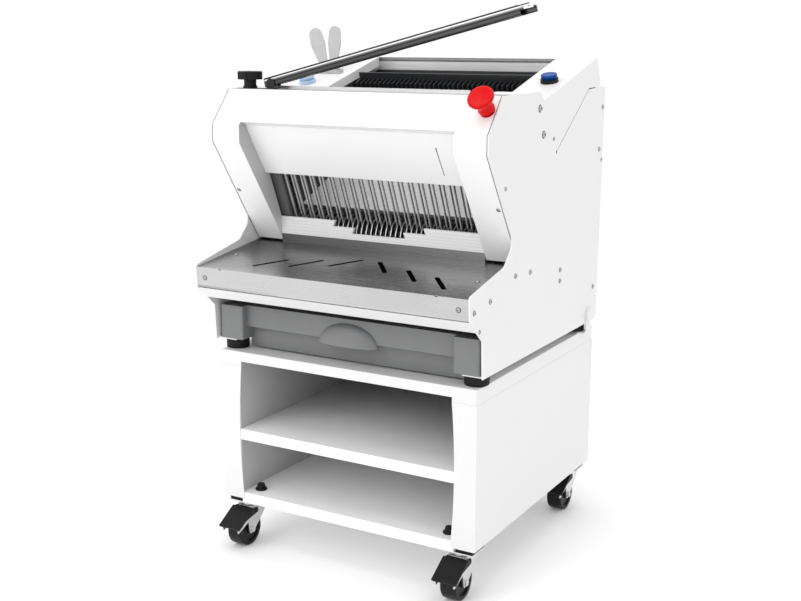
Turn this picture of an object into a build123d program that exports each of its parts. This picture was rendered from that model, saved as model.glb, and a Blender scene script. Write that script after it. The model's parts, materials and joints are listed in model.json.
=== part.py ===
"""Automatic bread slicer on a wheeled stand, as separate pieces in millimetres.

+Z is up, +X is to the right of somebody who faces the machine and -Y is the front.
The origin is on the floor below the middle of the stand.
"""
from build123d import *
import os
from math import atan2, cos, degrees, hypot, radians, sin, tan

os.makedirs("parts", exist_ok=True)

# Stand
stand_width = 620.0
stand_depth = 615.0
stand_height = 345.0
stand_sheet = 2.0
lid_rim = 22.0
lid_corner = 32.0
leg_face = 55.0
leg_waist = 7.0
leg_lift = 10.0
shelf_thickness = 24.0
middle_shelf_drop = 175.0

# Casters
caster_height = 100.0
wheel_diameter = 75.0
wheel_width = 36.0
axle_diameter = 8.0
swivel_inset_x = 45.0
swivel_inset_y = 35.0
caster_trail = 25.0
caster_plate_size = (76.0, 60.0)
caster_plate_thickness = 3.0
race_diameter = 44.0
race_height = 8.0
fork_back = 36.0
fork_sheet = 2.5
fork_gap = 1.0
pedal_width = 55.0
pedal_thickness = 4.5
pedal_slope = 30.4
pedal_lift = 12.0

# Housing
housing_overhang = 11.0
panel_sheet = 3.0
cover_sheet = 1.5
rear_depth = 606.0
panel_bottom = 22.0
foot_diameter = 50.0
foot_inset = 31.0
front_foot_y = 38.0
rear_foot_inset = 66.0
hood_box_width = 89.5
pillar_width = 68.0
flange_width = 46.0
flange_sheet = 2.5
wing_end = 240.0
strip_y = 112.0
strip_top = 560.0
lining_sheet = 1.5
lining_inset = 72.0
hood_front_y = 246.0
top_flange = 14.0

# Blades
blade_lean = 23.5
blade_pitch = 12.0
blade_thickness = 0.8
blade_width = 9.0
blade_stroke = 12.0
frame_bar = 20.0
frame_stile = 30.0
frame_thickness = 9.0
frame_offset = 8.0
blade_offset = 2.5
frame_top = 185.0
frame_bottom = -115.0
guide_clearance = 0.3

# Drive
crank_y = 272.0
crank_z = 158.0
shaft_radius = 10.0
crank_disc_radius = 24.0
crank_disc_width = 10.0
crank_pin_radius = 6.0
crank_end = 75.0
rod_thickness = 11.0
rod_eye_radius = 12.0
lug_pin_radius = 5.0
lug_drop = 32.0
lug_offset = 12.5
lug_thickness = 9.0
lug_end = 8.0
crank_pulley_radius = 46.0
motor_pulley_radius = 23.0
belt_width = 16.0
belt_thickness = 3.0
motor_inset = 156.0
motor_z = 180.0
motor_radius = 60.0
motor_length = 180.0
motor_start = 28.0
pin_clearance = 0.05
part_gap = 0.3

# Outlet and drawer
tray_sheet = 1.5
tray_rear_y = 152.0
bar_strip = 12.7
comb_finger = 2.0
drawer_tub_inset = 61.0
drawer_post_inset = 10.0
drawer_post_width = 58.0
drawer_back_inset = 46.0
drawer_bottom = 4.0
drawer_top = 98.0
drawer_wall = 3.0
drawer_travel = 400.0
pull_half = 71.0
pull_depth = 21.0
pull_height = 46.0
pull_wall = 4.0
pull_low = 43.0

# Controls
bar_pivot_inset = 96.0
bar_pivot_y = 95.0
bar_pivot_z = 569.0
bar_rise = 13.9
bar_length = 594.0
bar_tail = 18.0
bar_tongue = 14.0
bar_width = 20.0
bar_height = 18.0
bar_sheet = 1.5
bar_pin_radius = 4.0
knob_inset = 42.0
knob_y = 85.0
knob_radius = 26.0
estop_inset = 18.0
estop_along = 57.0
estop_head = 26.0
estop_neck = 16.0
button_radius = 17.0
start_button_inset = 36.0
start_button_y = 376.0
stop_button_inset = 18.0
stop_button_y = 335.0
rivet_inset = 30.0
paddle_inset = 28.0
paddle_y = 410.0
bracket_inset = 58.0
bracket_sheet = 2.5
gland_x = 210.0
gland_radius = 10.0

# Heights and places that follow from the sizes above
deck = caster_height + stand_height
front = -stand_depth / 2
rear = stand_depth / 2
leg_bottom = caster_height + leg_lift
half_stand = stand_width / 2
half_housing = half_stand + housing_overhang
inner_housing = half_housing - panel_sheet
half_window = inner_housing - pillar_width
half_infeed = inner_housing - hood_box_width
blade_count = 2 * int(half_infeed / blade_pitch)
rear_foot_y = rear_depth - rear_foot_inset
lining_back_y = rear_depth - lining_inset
motor_y = rear_depth - motor_inset
bar_pivot = (-inner_housing + bar_pivot_inset, bar_pivot_y, bar_pivot_z)
knob_x = -inner_housing + knob_inset
estop_x = inner_housing - estop_inset
start_button_at = (inner_housing - start_button_inset, start_button_y)
stop_button_at = (-inner_housing + stop_button_inset, stop_button_y)
rivet_x = inner_housing - rivet_inset
paddle_x = -inner_housing + paddle_inset
bracket_y = rear_depth - bracket_inset
inner_wall_x = half_stand - leg_face + leg_waist
wheel_radius = wheel_diameter / 2

# Side view of the housing, as distances behind the stand's front and above its top
cover_top = (66.0, 553.0)
cover_bend = (6.0, 482.0)
cover_chin = (6.0, 446.0)
valley = (128.0, 266.0)
tray_shoulder = (88.0, 226.0)
lip_top = (-62.0, 194.0)
lip_bottom = (-58.0, 146.0)
skirt_end = (-4.0, 98.0)
panel_foot = (0.0, panel_bottom)
pillar_foot = (157.0, 223.0)
hood_low = (258.0, 536.0)
hood_high = (rear_depth - 55.0, 619.0)
slit_bottom = (332.0, 429.0)
slit_top = (rear_depth - 100.0, 551.0)
ledge_z = 553.0
window_top = (12.0, 489.0)
deflector_fold = (52.0, 442.0)
deflector_end = (96.0, 376.0)
tray_front = (-61.0, 190.0)
tray_hem = (-58.0, 147.5)
tray_back_z = 218.0
blade_point = (156.0, 322.0)

lean = radians(blade_lean)
hood_slope = atan2(hood_high[1] - hood_low[1], hood_high[0] - hood_low[0])
cover_slope = atan2(cover_top[1] - cover_bend[1], cover_top[0] - cover_bend[0])


def at(y, z):
    """A point of the side view, in the part's own Y and Z."""
    return (front + y, deck + z)


def side_plane(x):
    """A plane across the machine at x, whose sketch axes are Y and Z."""
    return Plane(origin=(x, 0, 0), x_dir=(0, 1, 0), z_dir=(1, 0, 0))


def front_plane(y):
    """An upright plane facing the front at y, whose sketch axes are X and Z."""
    return Plane(origin=(0, y, 0), x_dir=(1, 0, 0), z_dir=(0, -1, 0))


def blade_plane(offset=0.0, along=0.0):
    """The plane of the blades, offset towards the outlet and moved along the blades."""
    y = blade_point[0] - offset * cos(lean) - along * sin(lean)
    z = blade_point[1] - offset * sin(lean) + along * cos(lean)
    return Plane(origin=(0, *at(y, z)), x_dir=(1, 0, 0), z_dir=(0, -cos(lean), -sin(lean)))


def blade_spot(offset, along):
    """The side-view point at an offset from the blades' plane and a place along it."""
    y = blade_point[0] - offset * cos(lean) - along * sin(lean)
    z = blade_point[1] - offset * sin(lean) + along * cos(lean)
    return (y, z)


def lug_spot(sign):
    """The side-view point of the pin by which a frame is driven."""
    return blade_spot(sign * lug_offset, frame_bottom - lug_drop)


def hood_z(y):
    """Height of the hood's sloping top at a distance y behind the stand's front."""
    return hood_low[1] + (y - hood_low[0]) * tan(hood_slope)


def tray_z(y):
    """Height of the outlet tray's sheet at a distance y behind the stand's front."""
    rise = (y - tray_front[0]) / (tray_rear_y - tray_front[0])
    return tray_front[1] + rise * (tray_back_z - tray_front[1])


def chute_z(y):
    """Height of the sloping floor on which the loaf lies."""
    start = blade_spot(0, -38)
    return start[1] + (y - start[0]) * tan(lean)


def shifted(points, distance):
    """A chain of side-view points moved sideways by a distance, corners kept sharp."""
    moved = []
    for index, point in enumerate(points):
        before = points[max(index - 1, 0)]
        after = points[min(index + 1, len(points) - 1)]
        first = Vector(point[0] - before[0], point[1] - before[1])
        second = Vector(after[0] - point[0], after[1] - point[1])
        first = second if first.length == 0 else first
        second = first if second.length == 0 else second
        first = first.normalized()
        second = second.normalized()
        middle = Vector(-first.Y - second.Y, first.X + second.X)
        scale = distance * 2 / (middle.length ** 2)
        moved.append((point[0] + middle.X * scale, point[1] + middle.Y * scale))
    return moved


def bent_sheet(points, x_low, x_high, thickness):
    """A folded sheet that follows side-view points, between two places across the machine."""
    outline = points + list(reversed(shifted(points, thickness)))
    with BuildPart() as sheet:
        with BuildSketch(side_plane(x_low)):
            with BuildLine():
                Polyline(*[at(*point) for point in outline], close=True)
            make_face()
        extrude(amount=x_high - x_low)
    return sheet.part


def block(x_low, x_high, y_low, y_high, z_low, z_high):
    """A plain block between three pairs of limits."""
    size = (x_high - x_low, y_high - y_low, z_high - z_low)
    place = ((x_low + x_high) / 2, (y_low + y_high) / 2, (z_low + z_high) / 2)
    return Pos(*place) * Box(*size, mode=Mode.PRIVATE)


def face_plane(x, first, second, share):
    """A plane on the sheet between two side-view points, facing the left of the way between them."""
    run = Vector(second[0] - first[0], second[1] - first[1])
    spot = (first[0] + share * run.X, first[1] + share * run.Y)
    return Plane(origin=(x, *at(*spot)), x_dir=(1, 0, 0), z_dir=(0, -run.Y, run.X))


def keep(piece, name):
    """Label a finished piece and write it to its own file."""
    piece.label = name
    export_step(piece, f"parts/{name}.step")


# Stand lid, a tray turned upside down with deeper corners
with BuildPart() as stand_top:
    with BuildSketch(Plane.XY.offset(deck - lid_corner)):
        RectangleRounded(stand_width, stand_depth, 6)
    extrude(amount=lid_corner)
    fillet(stand_top.edges().group_by(Axis.Z)[-1], 1.5)
    with BuildSketch(Plane.XY.offset(deck - lid_corner)):
        Rectangle(stand_width - 2 * stand_sheet, stand_depth - 2 * stand_sheet)
    extrude(amount=lid_corner - stand_sheet, mode=Mode.SUBTRACT)
    with BuildSketch(front_plane(front - 1)):
        with Locations((0, deck - lid_corner)):
            Rectangle(stand_width - 2 * leg_face, 2 * (lid_corner - lid_rim))
    extrude(amount=-stand_sheet - 2, mode=Mode.SUBTRACT)
keep(stand_top.part, "stand_top")


def stand_side(sign):
    """A boxed stand side: outer sheet, curved front face, inner wall and bottom flange."""
    seam = deck - lid_corner
    outer = block(half_stand - stand_sheet, half_stand, front, rear - stand_sheet, leg_bottom, seam)
    inner = block(inner_wall_x, inner_wall_x + stand_sheet, front + stand_sheet, rear - stand_sheet,
                  leg_bottom, deck - stand_sheet)
    sole = block(inner_wall_x, half_stand, front, rear - stand_sheet, leg_bottom, leg_bottom + stand_sheet)
    with BuildPart() as side:
        with BuildSketch(front_plane(front + stand_sheet)):
            with BuildLine():
                Polyline((half_stand - leg_face, seam), (half_stand, seam), (half_stand, leg_bottom),
                         (half_stand - leg_face, leg_bottom))
                ThreePointArc((half_stand - leg_face, leg_bottom), (inner_wall_x, (seam + leg_bottom) / 2),
                              (half_stand - leg_face, seam))
            make_face()
        extrude(amount=stand_sheet)
        add(outer)
        add(inner)
        add(sole)
    if sign < 0:
        return mirror(side.part, about=Plane.YZ)
    return side.part


for sign, hand in ((-1, "left"), (1, "right")):
    keep(stand_side(sign), f"stand_side_{hand}")

with BuildPart() as stand_back:
    with BuildSketch(front_plane(rear)):
        with Locations((0, (leg_bottom + deck - lid_corner) / 2)):
            Rectangle(stand_width, deck - lid_corner - leg_bottom)
    extrude(amount=stand_sheet)
keep(stand_back.part, "stand_back")


def shelf(top):
    """A folded shelf with a rim all round, open below."""
    depth = stand_depth - 2 * stand_sheet
    with BuildPart() as tray:
        with BuildSketch(Plane.XY.offset(top - shelf_thickness)):
            Rectangle(2 * inner_wall_x, depth)
        extrude(amount=shelf_thickness)
        with BuildSketch(Plane.XY.offset(top - shelf_thickness)):
            Rectangle(2 * inner_wall_x - 2 * stand_sheet, depth - 2 * stand_sheet)
        extrude(amount=shelf_thickness - stand_sheet, mode=Mode.SUBTRACT)
    return tray.part


keep(shelf(deck - middle_shelf_drop), "middle_shelf")
keep(shelf(caster_height + shelf_thickness), "bottom_shelf")

# Casters, one at each corner, with the brake pedal to the front
swivel_x = half_stand - swivel_inset_x
caster_spots = {
    "front_left": (-swivel_x, front + swivel_inset_y),
    "front_right": (swivel_x, front + swivel_inset_y),
    "rear_left": (-swivel_x, rear - swivel_inset_y),
    "rear_right": (swivel_x, rear - swivel_inset_y),
}
bolt_inset = 8.0
plate_bottom = caster_height - caster_plate_thickness
race_bottom = plate_bottom - race_height
crown_bottom = race_bottom - fork_sheet
fork_inner = wheel_width / 2 + fork_gap
axle_radius = axle_diameter / 2


def bolt_places(x, y):
    """The four bolt places of a caster plate."""
    half_x = caster_plate_size[0] / 2 - bolt_inset
    half_y = caster_plate_size[1] / 2 - bolt_inset
    return [(x + i * half_x, y + j * half_y) for i in (-1, 1) for j in (-1, 1)]


with BuildPart() as caster_plates:
    for x, y in caster_spots.values():
        with BuildSketch(Plane.XY.offset(plate_bottom)):
            with Locations((x, y)):
                RectangleRounded(*caster_plate_size, 5)
        extrude(amount=caster_plate_thickness)
        with BuildSketch(Plane.XY.offset(race_bottom + part_gap)):
            with Locations((x, y)):
                Circle(race_diameter / 2)
        extrude(amount=race_height - part_gap)
keep(caster_plates.part, "caster_plates")

# Black mounts: a pad under each leg box and a cap nut on the shelf over the inner bolts
pad_inner = inner_wall_x + 2
with BuildPart() as caster_mounts:
    for x, y in caster_spots.values():
        side = 1 if x > 0 else -1
        pad_outer = swivel_x + caster_plate_size[0] / 2 - 3
        with BuildSketch(Plane.XY.offset(caster_height)):
            with Locations((side * (pad_inner + pad_outer) / 2, y)):
                Rectangle(pad_outer - pad_inner, caster_plate_size[1] - 6)
        extrude(amount=leg_lift)
        with BuildSketch(Plane.XY.offset(caster_height + shelf_thickness)):
            with Locations((side * (swivel_x - caster_plate_size[0] / 2 + bolt_inset), y)):
                Circle(13)
        extrude(amount=4)
        with BuildSketch(Plane.XY.offset(caster_height + shelf_thickness + 4)):
            with Locations((side * (swivel_x - caster_plate_size[0] / 2 + bolt_inset), y)):
                Circle(10)
        extrude(amount=10, taper=12)
keep(caster_mounts.part, "caster_mounts")


def caster_fork(x, y):
    """Pressed fork: crown, two tapering legs and the axle bolt with its nut."""
    axle = Vector(0, y - caster_trail, wheel_radius)
    with BuildPart() as fork:
        with BuildSketch(Plane.XY.offset(crown_bottom)):
            with Locations((x, y + (fork_back - 20) / 2)):
                RectangleRounded(2 * (fork_inner + fork_sheet), 20 + fork_back, 4)
        extrude(amount=fork_sheet)
        for side in (-1, 1):
            leg_x = x + side * (fork_inner + fork_sheet / 2) - fork_sheet / 2
            with BuildSketch(side_plane(leg_x)):
                with BuildLine():
                    Polyline((y - 18, crown_bottom + 1), (y + fork_back - 3, crown_bottom + 1),
                             (y + fork_back - 3, crown_bottom - 6), (axle.Y + 36, axle.Z + 20),
                             (axle.Y + 10, axle.Z - 3), (axle.Y + 5, axle.Z - 9),
                             (axle.Y - 5, axle.Z - 9), (axle.Y - 10, axle.Z - 3),
                             (axle.Y - 12, axle.Z + 12), (axle.Y - 13, axle.Z + 20),
                             (axle.Y - 49, axle.Z + 6), (axle.Y - 51, axle.Z + 12),
                             (axle.Y - 13, axle.Z + 31), (y - 20, crown_bottom - 12), close=True)
                make_face()
            extrude(amount=fork_sheet)
        with BuildSketch(side_plane(x - fork_inner - fork_sheet)):
            with Locations((axle.Y, axle.Z)):
                Circle(axle_radius)
        extrude(amount=2 * (fork_inner + fork_sheet))
        for side in (-1, 1):
            with BuildSketch(side_plane(x + side * (fork_inner + fork_sheet))):
                with Locations((axle.Y, axle.Z)):
                    RegularPolygon(7, 6)
            extrude(amount=side * 4)
        with BuildSketch(side_plane(x - fork_inner - fork_sheet - 1)):
            with Locations(pedal_pin(y)):
                Circle(2.5 + pin_clearance)
        extrude(amount=2 * (fork_inner + fork_sheet) + 2, mode=Mode.SUBTRACT)
    return fork.part


def pedal_pin(y):
    """Y and Z of the brake pedal's pivot pin."""
    return (y - caster_trail + 14, wheel_radius + 40.5)


def caster_wheel(x, y):
    """A wheel with a rounded tread, dished sides and a bore for the axle."""
    with BuildPart() as wheel:
        with BuildSketch(side_plane(x - wheel_width / 2)):
            with Locations((y - caster_trail, wheel_radius)):
                Circle(wheel_radius)
        extrude(amount=wheel_width)
        fillet(wheel.edges().filter_by(GeomType.CIRCLE), 3)
        for side in (-1, 1):
            with BuildSketch(side_plane(x + side * wheel_width / 2)):
                with Locations((y - caster_trail, wheel_radius)):
                    Circle(wheel_radius - 9)
                    Circle(11, mode=Mode.SUBTRACT)
            extrude(amount=-side * 4, mode=Mode.SUBTRACT)
        with BuildSketch(side_plane(x - wheel_width / 2)):
            with Locations((y - caster_trail, wheel_radius)):
                Circle(axle_radius + pin_clearance)
        extrude(amount=wheel_width, mode=Mode.SUBTRACT)
    return wheel.part


def caster_pedal(x, y):
    """A brake pedal: sloping tread plate, two side arms and the pivot pin."""
    axle_y = y - caster_trail
    slope = radians(pedal_slope)
    start = Vector(axle_y - 4, wheel_radius + 49.5)
    end = Vector(axle_y - 56, wheel_radius + 49.5 - 52 * tan(slope))
    down = Vector(sin(slope), -cos(slope)) * pedal_thickness
    pin = pedal_pin(y)
    arm_inner = fork_inner + fork_sheet + part_gap
    with BuildPart() as pedal:
        with BuildSketch(side_plane(x - pedal_width / 2)):
            with BuildLine():
                Polyline((start.X, start.Y), (end.X, end.Y), (end.X + down.X, end.Y + down.Y),
                         (start.X + down.X, start.Y + down.Y), close=True)
            make_face()
        extrude(amount=pedal_width)
        fillet(pedal.edges().filter_by(Axis.X).group_by(Axis.Z)[-1], 1.2)
        for side in (-1, 1):
            arm_x = x + side * (arm_inner + fork_sheet / 2) - fork_sheet / 2
            with BuildSketch(side_plane(arm_x)):
                with BuildLine():
                    Polyline((pin[0] + 5, pin[1] + 5), (start.X + 1, start.Y - 1), (end.X + 26, end.Y + 12),
                             (end.X + 30, end.Y + 8), (pin[0] + 2, pin[1] - 6), (pin[0] + 6, pin[1] - 3),
                             close=True)
                make_face()
            extrude(amount=fork_sheet)
        with BuildSketch(side_plane(x - arm_inner - fork_sheet)):
            with Locations(pin):
                Circle(2.5)
        extrude(amount=2 * (arm_inner + fork_sheet))
    return pedal.part


for corner, spot in caster_spots.items():
    keep(caster_fork(*spot), f"caster_fork_{corner}")
    keep(caster_wheel(*spot), f"caster_wheel_{corner}")
    keep(caster_pedal(*spot), f"caster_pedal_{corner}")


def side_panel(sign):
    """A side sheet with the hood's cheek, the slit behind it and the flange under the drawer."""
    rear_top = (rear_depth, ledge_z)
    with BuildPart() as panel:
        with BuildSketch(side_plane(inner_housing)) as outline:
            with BuildLine():
                Polyline(at(*valley), at(*cover_chin), at(*cover_bend), at(*cover_top),
                         at(wing_end, ledge_z + 2),
                         at(*hood_low), at(*hood_high), at(hood_high[0] + 24, ledge_z + 3), at(*rear_top),
                         at(rear_depth - 4, panel_bottom), at(*panel_foot), at(*skirt_end), at(*lip_bottom),
                         at(*lip_top), at(*tray_shoulder), at(*valley))
            make_face()
            for spot, size in ((valley, 26), (lip_top, 9), (lip_bottom, 6), (hood_high, 7),
                               (tray_shoulder, 12),
                               ((rear_depth - 4, panel_bottom), 12)):
                fillet(outline.vertices().sort_by_distance(Vector(*at(*spot)))[0], size)
        extrude(amount=panel_sheet)
        slit = [slit_bottom, slit_top, (hood_high[0] + 40, ledge_z + 1.5)]
        slit_outline = slit + list(reversed(shifted(slit, 2.2)))
        with BuildSketch(side_plane(inner_housing)):
            with BuildLine():
                Polyline(*[at(*point) for point in slit_outline], close=True)
            make_face()
            with Locations(at(*slit_bottom)):
                Circle(3.5)
        extrude(amount=panel_sheet, mode=Mode.SUBTRACT)
        with BuildSketch(Plane.XY.offset(deck + panel_bottom)):
            with Locations((inner_housing - flange_width / 2 + 1, front + rear_depth / 2)):
                Rectangle(flange_width + 2, rear_depth - 16)
        extrude(amount=flange_sheet)
    if sign < 0:
        return mirror(panel.part, about=Plane.YZ)
    return panel.part


for sign, hand in ((-1, "left"), (1, "right")):
    keep(side_panel(sign), f"side_panel_{hand}")

# Front cover: slanted face, two pillars with their return flanges and the top plate
cover_up = Vector(0, -sin(cover_slope), cos(cover_slope))
estop_spot = (cover_bend[0] + estop_along * cos(cover_slope), cover_bend[1] + estop_along * sin(cover_slope))
estop_plane = Plane(origin=(estop_x, *at(*estop_spot)), x_dir=(1, 0, 0), z_dir=cover_up)
stem_radius = 10.7
upper_chain = [(strip_y, ledge_z), cover_top, window_top]
wing_chain = [(wing_end, ledge_z), cover_top, cover_bend, cover_chin, pillar_foot]
return_edge = [blade_spot(22.5, -62), blade_spot(22.5, 70), (46.0, 470.0)]
with BuildPart() as front_cover:
    add(bent_sheet(upper_chain, -half_window, half_window, cover_sheet))
    for side in (-1, 1):
        low, high = sorted((side * half_window, side * inner_housing))
        add(bent_sheet(wing_chain, low, high, cover_sheet))
        flange = [window_top, cover_bend, cover_chin, pillar_foot] + return_edge
        with BuildSketch(side_plane(side * half_window - (cover_sheet if side > 0 else 0))):
            with BuildLine():
                Polyline(*[at(*point) for point in flange], close=True)
            make_face()
        extrude(amount=cover_sheet)
        low, high = sorted((side * half_infeed, side * half_window))
        add(block(low, high, front + strip_y - 1, front + wing_end,
                  deck + ledge_z - cover_sheet, deck + ledge_z))
    with BuildSketch(estop_plane):
        Circle(stem_radius + part_gap)
    extrude(amount=6, both=True, mode=Mode.SUBTRACT)
keep(front_cover.part, "front_cover")

# White deflector sheet between the pillars, above the outlet
deflector_chain = [(16.0, 487.0), (29.0, 481.0), deflector_fold, deflector_end, (104.0, 378.0)]
deflector_width = 2 * (half_window - cover_sheet)
deflector_panel = bent_sheet(deflector_chain, -deflector_width / 2, deflector_width / 2, cover_sheet)
keep(deflector_panel, "deflector_panel")


def hood_box(sign, button):
    """A hood box beside the infeed: sloping top, inner wall, front end and a button hole."""
    low = half_infeed
    high = inner_housing
    hood_end = hood_high[0] - top_flange - part_gap
    top_chain = [(hood_end, hood_z(hood_end)), (hood_front_y, hood_z(hood_front_y)),
                 (hood_front_y, hood_z(hood_front_y) - 40)]
    top = bent_sheet(top_chain, low, high, cover_sheet)
    with BuildPart() as box:
        add(top)
        with BuildSketch(side_plane(low)):
            with BuildLine():
                Polyline(at(hood_front_y, hood_z(hood_front_y) - 40), at(hood_front_y, hood_z(hood_front_y)),
                         at(hood_end, hood_z(hood_end)), at(hood_end, hood_z(hood_end) - 46), close=True)
            make_face()
        extrude(amount=cover_sheet)
        with BuildSketch(Plane.XY.offset(deck)):
            with Locations((abs(button[0]), front + button[1])):
                Circle(button_radius - 3)
        extrude(amount=hood_high[1] + 20, mode=Mode.SUBTRACT)
    if sign < 0:
        return mirror(box.part, about=Plane.YZ)
    return box.part


keep(hood_box(-1, stop_button_at), "hood_left")
keep(hood_box(1, start_button_at), "hood_right")

# Rear panel: front flange on top, hood's back wall, ledge and lower rear sheet
rear_chain = [(hood_high[0] - top_flange, hood_z(hood_high[0] - top_flange)), hood_high,
              (hood_high[0], ledge_z),
              (rear_depth - 4, ledge_z), (rear_depth - 8, panel_bottom + 4)]
gland_plane = face_plane(gland_x, rear_chain[3], rear_chain[4], 0.76)
with BuildPart() as rear_panel:
    add(bent_sheet(rear_chain, -inner_housing, inner_housing, -cover_sheet))
    with BuildSketch(gland_plane):
        Circle(gland_radius + part_gap)
    extrude(amount=30, both=True, mode=Mode.SUBTRACT)
keep(rear_panel.part, "rear_panel")

# Stainless lining of the infeed: two cheeks, the back and the front strip
cheek = [(strip_y, strip_top - 12), (hood_front_y - 4, strip_top - 12),
         (hood_front_y - 4, hood_z(hood_front_y) - 20),
         (lining_back_y, hood_z(lining_back_y) - 20), (lining_back_y, chute_z(lining_back_y)),
         blade_spot(-17, -38), blade_spot(-17, 150)]
with BuildPart() as infeed_lining:
    for side in (-1, 1):
        with BuildSketch(side_plane(side * half_infeed - (lining_sheet if side > 0 else 0))):
            with BuildLine():
                Polyline(*[at(*point) for point in cheek], close=True)
            make_face()
        extrude(amount=lining_sheet)
    add(bent_sheet([(lining_back_y + 14, hood_high[1] - 10), (lining_back_y + 1, hood_high[1] - 14),
                    (lining_back_y + 1, hood_high[1] - 30),
                    (lining_back_y + lining_sheet, chute_z(lining_back_y))],
                   -half_infeed, half_infeed, lining_sheet))
    add(block(-half_infeed, half_infeed, front + strip_y, front + strip_y + lining_sheet,
              deck + blade_spot(-17, 150)[1], deck + strip_top))
keep(infeed_lining.part, "infeed_lining")

# Floor plate over the drawer, with the crumb opening under the blades
floor_low = drawer_top + 8
floor_high = floor_low + cover_sheet
floor_depth = rear_depth - 46
floor_middle = 35 + floor_depth / 2
with BuildPart() as floor_plate:
    with BuildSketch(Plane.XY.offset(deck + floor_low)):
        with Locations((0, front + floor_middle)):
            Rectangle(2 * inner_housing, floor_depth)
        with Locations((0, front + 165)):
            Rectangle(2 * half_infeed, 90, mode=Mode.SUBTRACT)
    extrude(amount=cover_sheet)
    for side in (-1, 1):
        x = side * (inner_housing - cover_sheet / 2)
        with BuildSketch(Plane.XY.offset(deck + floor_low)):
            with Locations((x, front + floor_middle)):
                Rectangle(cover_sheet, floor_depth)
        extrude(amount=18)
keep(floor_plate.part, "floor_plate")

# White crossbar under the tray's lip
crossbar_chain = [(-40.0, 146.0), (lip_bottom[0] + 1, lip_bottom[1] - 0.5), (-29.0, 120.0), (-16.0, 120.0),
                  (-16.0, 132.0)]
keep(bent_sheet(crossbar_chain, -inner_housing, inner_housing, cover_sheet), "front_crossbar")

# Outlet tray of brushed sheet: hem, lip, sloping sheet with six slots and the rear upstand
tray_chain = [(tray_hem[0] + 14, tray_hem[1]), tray_hem, tray_front, (tray_rear_y, tray_back_z),
              (tray_rear_y, 238.0)]
slot_starts = [(-204.0, -18.0), (-129.0, 2.0), (-50.0, 30.0), (88.0, 29.0), (172.0, -1.0), (248.0, -23.0)]
slot_run = (50.0, 62.0)
slot_width = 10.0
with BuildPart() as outlet_tray:
    add(bent_sheet(tray_chain, -half_window + 2, half_window - 2, -tray_sheet))
    for side in (-1, 1):
        low, high = sorted((side * (half_window - 2), side * inner_housing))
        wing = tray_chain[:3] + [(tray_rear_y + 18, tray_z(tray_rear_y + 18))]
        add(bent_sheet(wing, low, high, -tray_sheet))
    for start_x, start_y in slot_starts:
        side = 1 if start_x < 60 else -1
        centre_x = start_x + side * slot_run[0] / 2
        centre_y = start_y + slot_run[1] / 2
        turn = degrees(atan2(slot_run[1], side * slot_run[0]))
        with BuildSketch(Plane.XY.offset(deck + lip_top[1] - 20)):
            with Locations(Location((centre_x, front + centre_y, 0), (0, 0, turn))):
                SlotOverall(hypot(*slot_run), slot_width)
        extrude(amount=60, mode=Mode.SUBTRACT)
    with BuildSketch(Plane.XY.offset(deck + tray_front[1] - 2)):
        with Locations((-half_housing + 65, front + tray_front[0]),
                       (half_housing - 70, front + tray_front[0])):
            Rectangle(7, 5)
    extrude(amount=5, mode=Mode.SUBTRACT)
keep(outlet_tray.part, "outlet_tray")

# Screws and rivets of the housing
panel_screws_at = {
    6.5: [(239, 522), (261, 469)],
    4.5: [(rear_depth - 24, 416), (rear_depth - 12, 509), (140, 200), (212, 196), (372, 174), (372, 150),
          (rear_depth - 32, 102), (26, 170), (-42, 161)],
    3.5: [(315, 457), (rear_depth - 8, 391), (84, 378), (-18, 120)],
}
screw_height = 3.0
with BuildPart() as housing_screws:
    for radius, places in panel_screws_at.items():
        for side in (-1, 1):
            with BuildSketch(side_plane(side * half_housing)):
                with Locations(*[at(*place) for place in places]):
                    Circle(radius)
            extrude(amount=side * screw_height, taper=25)
    with BuildSketch(face_plane(0, pillar_foot, cover_chin, 0.52)):
        with Locations((-inner_housing + 9, 0), (inner_housing - 9, 0)):
            Circle(4.5)
    extrude(amount=screw_height, taper=25)
    with BuildSketch(face_plane(0, tray_hem, tray_front, 0.48)):
        with Locations((-inner_housing + 21, 0), (inner_housing - 21, 0)):
            Circle(4.5)
    extrude(amount=screw_height, taper=25)
    for x in (-rivet_x, rivet_x):
        with BuildSketch(face_plane(x, tray_front, (tray_rear_y, tray_back_z), 0.46)):
            Circle(4)
        extrude(amount=2, taper=30)
keep(housing_screws.part, "housing_screws")

foot_x = half_housing - foot_inset
with BuildPart() as machine_feet:
    for y, low in ((front_foot_y, 0.0), (rear_foot_y, bracket_sheet)):
        for x in (-foot_x, foot_x):
            with BuildSketch(Plane.XY.offset(deck + low)):
                with Locations((x, front + y)):
                    Circle(foot_diameter / 2)
            extrude(amount=panel_bottom - low)
    soles = machine_feet.faces().filter_by(Axis.Z).sort_by(Axis.Z)[:4]
    chamfer([sole.edges()[0] for sole in soles], 2)
keep(machine_feet.part, "machine_feet")

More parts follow.
